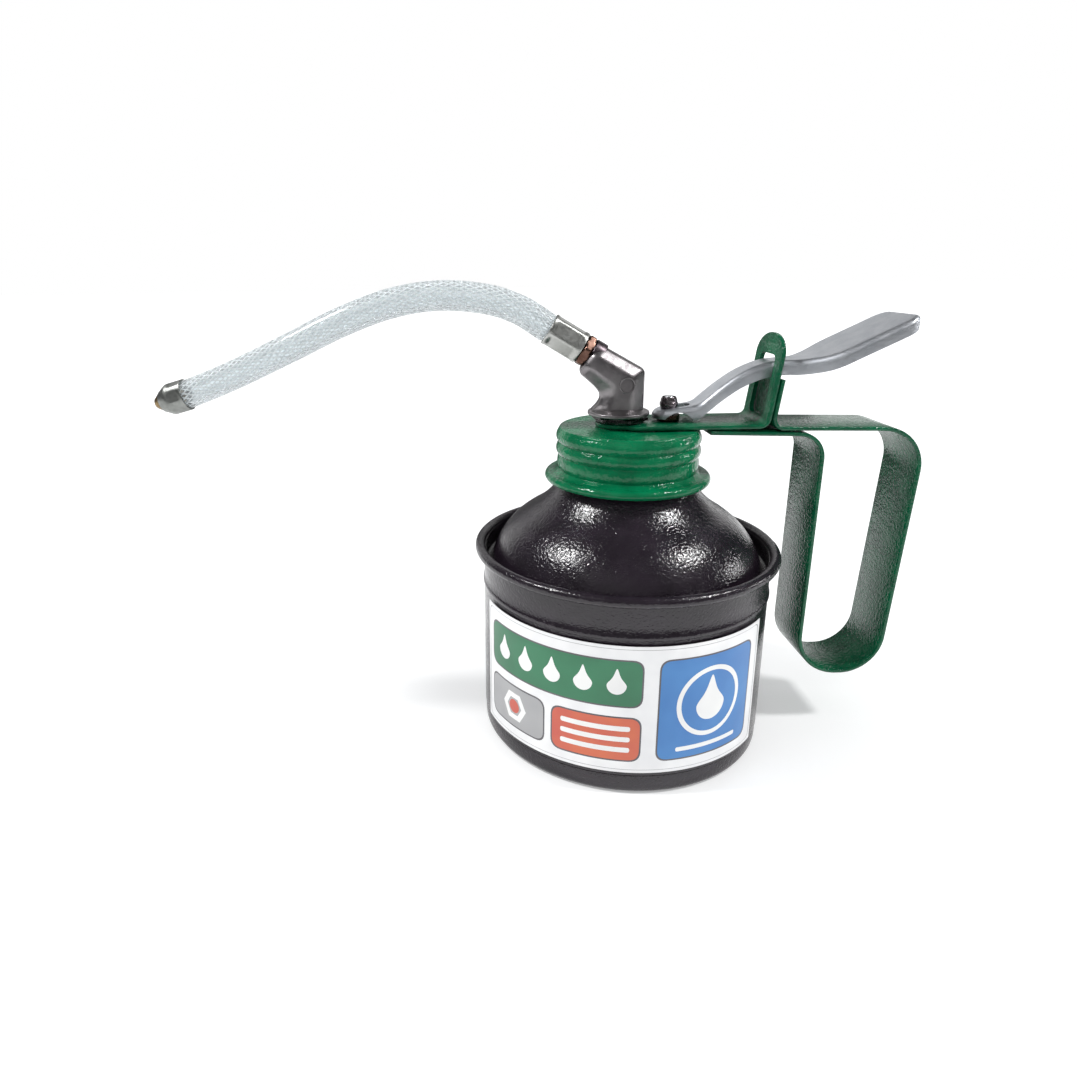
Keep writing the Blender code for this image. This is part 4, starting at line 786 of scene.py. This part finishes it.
# %% Grip strip
SHIFT, FULCRUM_Z, LOWER, UPPER = 1.5 / math.cos(LEAN), 107.6, 93.0, 93.95
grip_line = bent([
    (guide_x(FULCRUM_Z) + SHIFT, FULCRUM_Z, 0), (guide_x(UPPER) + SHIFT, UPPER, 3.0),
    (83.3, UPPER - 1.0, 11.9), (78.5, 16.7, 12.2), (53.5, 16.7, 12.2), (54.1, 91.9, 7.4), (21.45, LOWER, 0),
])
surface("grip_strip", [(strip(grip_line, HALF_STRIP), False)], "handle_strip", strip_paint)

# %% [markdown]
# The thumb lever is pressed into a channel: a top with a rounded edge and a skirt all round, from a
# round nose to a wide paddle with round corners. Its plan is walked once. Each row of the surface is
# that plan moved inwards, at its own depth under the top: from the spine out over the top, round the
# bend, down the skirt, and back inside at the sheet's thickness.

# %% Lever
FULCRUM_X = guide_x(FULCRUM_Z) + SHIFT - 0.3
NOSE, TIP = PUMP_X - 4.7, FULCRUM_X + 37.2
ridge_points = [(PUMP_X + x, DECK + z) for x, z in (
    (-4.7, 3.2), (1.5, 4.1), (7.1, 5.0), (10.0, 7.1), (13.5, 10.0), (18.5, 13.5))]
ridge_points += [(FULCRUM_X + x, FULCRUM_Z + z) for x, z in (
    (-5.5, 3.3), (-1.5, 4.4), (2.5, 4.8), (6.0, 4.9), (10.0, 5.6), (14.0, 6.8), (20.0, 9.6), (28.0, 13.3),
    (37.2, 17.6))]
ridge_line = smooth(ridge_points, 8)


def ridge_z(x):
    return np.interp(x, ridge_line[:, 0], ridge_line[:, 1])


ARM, PADDLE, CORNER = 4.8, 10.8, 4.5
WIDEN_FROM, WIDEN_TO = FULCRUM_X + 1.5, FULCRUM_X + 18.3
side_x = np.linspace(NOSE + ARM, TIP - CORNER, 120)
swell = np.clip((side_x - WIDEN_FROM) / (WIDEN_TO - WIDEN_FROM), 0, 1)
side_w = ARM + (PADDLE - ARM) * (1 - np.cos(np.pi * swell)) / 2
half_plan = np.vstack([
    arc((NOSE + ARM, 0.0), ARM, 180, 270, 14), coords(side_x, -side_w)[1:-1],
    arc((TIP - CORNER, CORNER - PADDLE), CORNER, 270, 360, 12),
    coords(TIP, np.linspace(CORNER - PADDLE, 0.0, 9)[1:]),
])
plan = np.vstack([half_plan, half_plan[-2:0:-1] * [1, -1]])
plan_way = unit(np.roll(plan, -1, 0) - np.roll(plan, 1, 0))
outward = coords(plan_way[:, 1], -plan_way[:, 0])
spine = coords(np.clip(plan[:, 0], NOSE + ARM, TIP - 0.7 * PADDLE), 0.0)
EDGE, SHEET_T, DEPTH, TO_EDGE = 1.7, 1.1, 4.1, 99.0


def lever_row(inset, drop_mm, share=1.0):
    """The plan moved inwards by inset and then drawn to the spine by share, at the top's height less
    a drop, and never below the skirt's edge; the drop TO_EDGE means the edge itself."""
    row = plan - outward * inset
    row = spine + (row - spine) * share
    edge_z = np.maximum(np.where(row[:, 0] < PUMP_X, DECK + 1.0, DECK + 0.3), ridge_z(row[:, 0]) - DEPTH)
    return coords(row[:, 0], row[:, 1], np.maximum(ridge_z(row[:, 0]) - drop_mm, edge_z))


bend = np.radians(np.linspace(80, 0, 7))
lever_grid = np.stack(
    [lever_row(EDGE, 0.0, share) for share in (0.0, 0.4, 0.8, 1.0)]
    + [lever_row(EDGE * (1 - math.cos(a)), EDGE * (1 - math.sin(a))) for a in bend]
    + [lever_row(0.0, TO_EDGE), lever_row(SHEET_T, TO_EDGE), lever_row(SHEET_T, SHEET_T + 0.7)]
    + [lever_row(SHEET_T + 0.5, SHEET_T, share) for share in (1.0, 0.5, 0.0)]
)
thumb_lever = surface("thumb_lever", [(lever_grid, False)], "lever", plated_steel, sharp=50.0)
slot_x, slot_y = np.vstack([
    arc((PUMP_X + 3.9, 0.0), 2.2, -90, 90, 12), arc((PUMP_X - 0.1, 0.0), 2.2, 90, 270, 12),
]).T
lever_slot = capped(np.stack([coords(slot_x, slot_y, z) for z in (97.2, 104.0)]))
# The arch's axis lies a hair off Y, because around() measures its sides from Y.
arch = lathe([(0, -12), (4.8, -12), (4.8, 12), (0, 12)], (PUMP_X + 1.9, 0, DECK - 1.8), (0, -1, 1e-6), 64)
cut(thumb_lever, lever_slot, arch)

# %% [markdown]
# The elbow is a casting with an eight-sided section. Seen from the side it is a band between an
# outer line with one corner and an inner line that sweeps in a hollow curve into the flange. Both
# lines are walked at the same pace, and the section is stretched between them.

# %% Elbow
ROWS = 44


def paced(points):
    """Even steps along the elbow's side view, from points (along the spout's way, height)."""
    line = np.array([ELBOW_X, 0, 0]) + points[:, :1] * spout_way + points[:, 1:] * upward
    return taken(line, np.linspace(0, walk(line)[-1], ROWS))


outer = paced(soften([(-6.4, 97.8), (-6.4, 110.15), (6.8, 117.6)], 1.0, 6, closed=False))
inner = paced(smooth([
    (8.6, 97.8), (8.2, 98.9), (7.0, 100.2), (6.1, 101.8), (6.2, 103.3), (7.3, 105.0), (9.2, 106.8),
    (12.5, 109.6),
], 8))
eight = soften(many_sided((0, 0), 1 / math.cos(math.pi / 8), 8, math.pi / 8), 0.19, 5)
drawn_in = np.ones((ROWS, 1, 1))
drawn_in[-4:, 0, 0] = 0.985, 0.95, 0.89, 0.78
eight_in = eight[None] * drawn_in
casting = (outer + inner)[:, None] / 2 + (outer - inner)[:, None] / 2 * eight_in[..., 1:]
casting = capped(casting + spout_side * 5.7 * eight_in[..., :1])
flange = lathe(np.vstack([
    [(0, 99.6), (5.0, 99.6), (6.4, 99.2), (7.6, 98.6)],
    soften([(8.0, 98.4), (8.8, 98.3), (8.8, 97.2), (7.8, 97.2)], 0.35, 4, closed=False),
    [(4.0, 97.2), (4.0, 89.3), (3.7, 89.0), (0, 89.0)],
]), (ELBOW_X - 0.5, 0, 0))
boss = soften([(0, -2.0), (4.5, -2.0), (4.5, 1.4), (3.2, 1.4), (3.2, 0.6), (0, 0.6)], 0.3, closed=False)
boss = lathe(boss, spout_start, spout_axis, 64)
MARK_R, MARK_WIRE = 2.1, 0.22
mark_a, mark_o = turns(40)[:, None, None], turns(8)[:, None]
mark_r = MARK_R + MARK_WIRE * np.cos(mark_o)
mark = np.array([ELBOW_X, 0, 0]) + spout_way * (np.cos(mark_a) * mark_r - 1.2) \
    + upward * (np.sin(mark_a) * mark_r + 106.3) + spout_side * (5.74 + 0.2 * np.sin(mark_o))
surface(
    "elbow_casting", [(casting, False), (flange, False), (boss, False, 1), (mark, True)],
    "spout_elbow", [cast_metal, collar_metal], sharp=28.0,
)

# %% [markdown]
# Small fittings round the elbow: a dark hexagon nut that clamps it to the cap, and a brass nipple
# with its own hexagon between elbow and hose. A hexagon is a stack of six-sided rings along its
# axis, and near both faces its corners are cut back, as a lathe chamfers them.

# %% Nuts and nipple
def hexagon(across, low, high, origin, axis, bore, turn):
    """A nut: six-sided rings from low to high along its axis, and a round bore."""
    axis = unit(np.array(axis, float))
    a = turns(96)
    local = (a - turn + np.pi / 6) % (np.pi / 3) - np.pi / 6
    flats = across / 2 / np.cos(local)
    face, shy, hole = np.minimum(flats, across / 2), np.minimum(flats, across / 2 * 1.1), np.full(96, bore)
    t = 0.08 * across
    heights = [low, low, low + t * 0.5, low + t, high - t, high - t * 0.5, high, high]
    radii = [hole, face, shy, flats, flats, shy, face, hole]
    ring = around(axis, a)
    return np.stack([np.array(origin) + axis * h + r[:, None] * ring for r, h in zip(radii, heights)])


foot_hex = hexagon(14.0, 95.4, 96.9, (ELBOW_X, 0, 0), (0, 0, 1), STEM_HOLE, 0.2)
surface("elbow_hexnut", [(foot_hex, True)], "elbow_nut", dark_steel)
barb = lathe(soften([
    (1.3, 14.1), (1.9, 14.1), (2.2, 12.6), (2.2, 3.7), (2.9, 3.0), (2.9, -2.6), (1.3, -2.6),
], 0.15), spout_start, spout_axis, 48)
nipple_hex = hexagon(8.6, 1.7, 3.9, spout_start, spout_axis, 1.32, 0.1)
# The nipple's darker brass is painted shade.
surface("nipple_body", [(barb, True), (nipple_hex, True)], "hose_nipple", shade_painted_brass)

# %% [markdown]
# The pump rod comes up through its gland under the lever's arch and through the slot, and a dark
# rounded nut on its thread rides on the slot's edges. Below the cap hangs the rest of the pump,
# which shows when the cap is lifted off: head, barrel, foot valve and suction tube.

# %% Rod, nuts and gland
nut_z = float(ridge_z(PUMP_X)) + 0.75 * math.sqrt(2.6 ** 2 - 2.2 ** 2) + 0.3
rod_top = nut_z + 1.8
THREAD_R, THREAD_DEPTH, THREAD_PITCH = 1.42, 0.08, 0.7
thread_z = np.linspace(rod_top - 0.3, rod_top - 4.5, 40)
thread = coords(THREAD_R + THREAD_DEPTH * np.cos(2 * np.pi * (thread_z - rod_top) / THREAD_PITCH), thread_z)
pump_rod = np.vstack([
    [(0, rod_top), (1.1, rod_top)], thread, [(1.5, rod_top - 4.7), (1.5, 47.8), (1.3, 47.6), (0, 47.6)],
])
turned("pump_rod", pump_rod, "plunger_rod", bright_steel, PUMP_X, 32, wrap=False)
dome_nut = soften(np.array([
    (1.8, -1.9), (2.2, -1.6), (2.58, -0.7), (2.6, 0.1), (2.3, 0.35), (2.4, 0.7), (2.1, 1.5), (1.85, 1.85),
    (1.8, 1.5), (1.8, -1.6),
]) + [0, nut_z], 0.2)
turned("dome_nut", dome_nut, "rod_nut", dark_steel, PUMP_X, 48)
gland = soften([(3.3, 97.0), (3.3, 95.4), (2.9, 95.4), (2.9, 90.7), (1.8, 90.7), (1.8, 97.0)], 0.2)
# The gland's darker brass is painted shade.
turned("gland", gland, "gland_nut", shade_painted_brass, PUMP_X, 48)
print("rod's top, mm:", round(rod_top, 2), "nut, mm:", round(nut_z, 2))

# %% Pump under the cap
HEAD_LOW, HEAD_HIGH, HEAD_R, HEAD_EDGE = 84.0, 91.6, 6.0, 0.4
head_plan = np.vstack([arc((0.0, 0.0), 1.0, -90, 90, 20), arc((0.0, 0.0), 1.0, 90, 270, 20)])
head_shift = np.where(np.arange(42) < 21, PUMP_X, ELBOW_X)
head = np.stack([coords(head_shift + head_plan[:, 0] * r, head_plan[:, 1] * r, z) for r, z in (
    (0.0, HEAD_LOW), (HEAD_R - HEAD_EDGE, HEAD_LOW), (HEAD_R, HEAD_LOW + HEAD_EDGE),
    (HEAD_R, HEAD_HIGH - HEAD_EDGE), (HEAD_R - HEAD_EDGE, HEAD_HIGH), (0.0, HEAD_HIGH),
)])
spigot = lathe([(4.6, 84.2), (4.6, 79.1), (4.3, 78.8), (3.2, 78.8), (3.2, 84.2)], (PUMP_X, 0, 0), steps=48)
head_body = surface("head_casting", [(head, False), (spigot, True)], "pump_head", cast_metal)
cut(head_body, rod(ELBOW_X, 88.7, 93.0, STEM_HOLE), rod(PUMP_X, 88.6, 93.0, GLAND_HOLE))
barrel = soften([(5.5, 83.7), (5.5, 40.2), (4.9, 40.2), (4.9, 83.7)], 0.2)
turned("barrel_tube", barrel, "pump_barrel", brass, PUMP_X, 72)
valve = soften([
    (4.6, 46.8), (4.6, 39.9), (5.5, 39.9), (5.5, 38.2), (3.6, 38.2), (3.6, 33.5), (2.8, 33.5), (2.8, 37.8),
    (1.4, 37.8), (1.4, 40.5), (2.4, 40.5), (2.4, 46.8),
], 0.15)
turned("valve_plug", valve, "foot_valve", brass, PUMP_X, 72)
tube = soften([(2.5, 37.5), (2.5, 4.0), (1.9, 4.0), (1.9, 37.5)], 0.15)
turned("suction_pipe", tube, "suction_tube", bright_steel, PUMP_X, 48)

# %% [markdown]
# Two coil springs work inside: one pushes the piston down, the other keeps the outlet ball on its
# seat. They are left stiff, so they stand in the piston and in the ball when those rise. The end
# turns are wound close, as they are on a spring that has to stand square.

# %% Springs
def coil(name, node, x, coil_r, wire_r, rounds, low, high):
    """middle + wire_r * (cos b * out + sin b * up), where the middle goes round at coil_r and rises by
    one wire a turn in the first and last turns and evenly in between."""
    t = np.linspace(0.0, rounds, int(rounds * 40) + 1)
    rise, close = high - low - 2 * wire_r, 2.05 * wire_r
    z = low + wire_r + np.interp(t, [0, 1, rounds - 1, rounds], [0, close, rise - close, rise])
    out = coords(np.cos(2 * np.pi * t), np.sin(2 * np.pi * t), 0.0)
    b = turns(14)[:, None]
    middle = np.array([x, 0.0, 0.0]) + coil_r * out + z[:, None] * upward
    rows = middle[:, None] + wire_r * (np.cos(b) * out[:, None] + np.sin(b) * upward)
    return surface(name, [(capped(rows), False)], node, bright_steel)


RETURN_LOW, RETURN_HIGH, STROKE = 56.4, 78.4, 9.15
OUTLET_LOW, OUTLET_HIGH, BALL_LIFT = 92.32, 96.68, 1.2
return_coil = coil("return_coil", "return_spring", PUMP_X, 3.88, 0.4, 7, RETURN_LOW, RETURN_HIGH)
outlet_coil = coil("outlet_coil", "outlet_spring", ELBOW_X, 1.69, 0.25, 4, OUTLET_LOW, OUTLET_HIGH)
for piece, joint, x, low, high, travel_mm in (
    (return_coil, "plunger_stroke", PUMP_X, RETURN_LOW, RETURN_HIGH, STROKE),
    (outlet_coil, "outlet_ball_lift", ELBOW_X, OUTLET_LOW, OUTLET_HIGH, BALL_LIFT),
):
    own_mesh(piece)

# %% [markdown]
# The pieces inside keep their CAD meshes, which are the right shape, and get materials of their
# own: moulded rubber with a faint grain, off-white nylon, brass and bright steel.

# %% Materials of the pieces inside
rubber = material("black_rubber", (40, 40, 41), 0.62)
grain(rubber, 1800.0, 0.015)
tint(rubber, 300.0, (34, 34, 35), (48, 48, 48))
nylon = material("white_nylon", (226, 222, 212), 0.45)
tint(nylon, 400.0, (216, 211, 200), (230, 227, 218))
INSIDE = {
    "cap_gasket": rubber, "pump_head_gasket": rubber, "piston_cup": rubber, "gland_packing": nylon,
    "piston": brass, "piston_nut": brass, "ball_pin": bright_steel, "outlet_ball": bright_steel,
    "inlet_ball": bright_steel,
}
for node, look in INSIDE.items():
    mesh = frame["nodes"][node].data
    mesh.materials.clear()
    mesh.materials.append(look)
print("pieces inside:", len(INSIDE))

# %% [markdown]
# The stage is a studio: a pale floor that runs out of sight, a white surround, and four soft boxes.
# The photograph shows two tall bright spots on the dome, left and right of the middle, a firm
# shadow behind the handle and a faint one to the left, which tells where the boxes stand. The floor
# glows a little more with every step away from the tin, so that it ends in the white surround.

# %% Floor and surround
def white_to_rays(look):
    """One for rays from the camera, from gloss and through glass, and zero for the rest."""
    rays = add_node(look, "ShaderNodeLightPath").outputs
    total = rays["Is Camera Ray"]
    for name in ("Is Glossy Ray", "Is Transmission Ray"):
        total = fed(look, "ShaderNodeMath", {0: total, 1: rays[name]}, operation="MAXIMUM")
    return total


def sheet(name, corners, look):
    """One flat rectangle that belongs to the stage."""
    mesh = bpy.data.meshes.new(name)
    mesh.from_pydata(corners, [], [(0, 1, 2, 3)])
    mesh.materials.append(look)
    print("stage:", name)
    return stand(name, mesh)


def level(half, z):
    """The corners of a level square round the middle."""
    return [(-half, -half, z), (half, -half, z), (half, half, z), (-half, half, z)]


def upright(x0, y0, x1, y1, top):
    """The corners of a card that stands on a line of the floor."""
    return [(x0, y0, 0.0), (x1, y1, 0.0), (x1, y1, top), (x0, y0, top)]


look = bpy.data.materials.new("pale_floor")
look.use_nodes = True
look.node_tree.nodes.remove(shader_of(look))
distance = add_node(look, "ShaderNodeVectorMath", operation="LENGTH")
link(look, add_node(look, "ShaderNodeTexCoord").outputs["Object"], distance.inputs[0])
fade = fed(look, "ShaderNodeMapRange", {"Value": distance.outputs["Value"]}, **{
    "From Min": 0.30, "From Max": 1.1, "To Min": 0.20, "To Max": 0.95})
strength = fed(look, "ShaderNodeMath", {0: white_to_rays(look), 1: fade}, operation="MULTIPLY")
glow = fed(look, "ShaderNodeEmission", {"Strength": strength})
matt = fed(look, "ShaderNodeBsdfDiffuse", {}, Color=(0.86, 0.86, 0.86, 1.0))
both = fed(look, "ShaderNodeAddShader", {0: matt, 1: glow})
link(look, both, look.node_tree.nodes["Material Output"].inputs["Surface"])
floor = sheet("floor", level(4.0, -5e-5), look)

world = bpy.data.worlds.new("studio")
bpy.context.scene.world = world
world.use_nodes = True
soft = world.node_tree.nodes["Background"]
soft.inputs["Color"].default_value = (0.96, 0.98, 1.0, 1.0)
soft.inputs["Strength"].default_value = 0.56
white = fed(world, "ShaderNodeBackground", {}, Color=(1.0, 1.0, 1.0, 1.0), Strength=1.0)
mix = fed(world, "ShaderNodeMixShader", {"Fac": white_to_rays(world), 1: soft.outputs[0], 2: white})
link(world, mix, world.node_tree.nodes["World Output"].inputs["Surface"])

# %% [markdown]
# A studio is never white all round. Dark cards stand in front of the tin, low behind it, at both
# sides and above the boxes. Only reflections see them, so that gloss paint and castings get their
# depth.

# %% Dark cards
card_look = bpy.data.materials.new("dark_card")
card_look.use_nodes = True
shader_of(card_look).inputs["Base Color"].default_value = (0.10, 0.10, 0.10, 1.0)
for name, corners in (
    ("front_card", upright(-1.3, -0.34, 1.3, -0.34, 0.7)),
    ("low_card", upright(-0.14, 0.27, 0.18, 0.27, 0.15)),
    ("left_card", upright(-1.05, -0.8, -1.05, 1.0, 0.95)),
    ("right_card", upright(1.05, -0.8, 1.05, 1.0, 0.95)),
    ("ceiling_card", level(1.6, 1.15)),
):
    card = sheet(name, corners, card_look)
    card.visible_camera = card.visible_diffuse = card.visible_shadow = card.visible_transmission = False

# %% Soft boxes
AIM = Vector((0.0, 0.0, 0.06))
for name, way, distance, size, power in (
    ("left_box", (-0.64, -0.03, 0.77), 0.95, 0.13, 5.6), ("right_box", (0.62, -0.16, 0.77), 0.95, 0.11, 4.4),
    ("side_box", (0.97, 0.06, 0.24), 0.95, 0.10, 1.1), ("front_box", (-0.25, -0.9, 0.62), 1.3, 0.5, 2.0),
):
    lamp = bpy.data.lights.new(name, "AREA")
    lamp.size = size
    lamp.energy = power
    box = stand(name, lamp)
    direction = Vector(way).normalized()
    box.location = AIM + direction * distance
    box.rotation_euler = direction.to_track_quat("Z", "Y").to_euler()
    box.visible_camera = False
bpy.context.scene.view_settings.view_transform = "Standard"
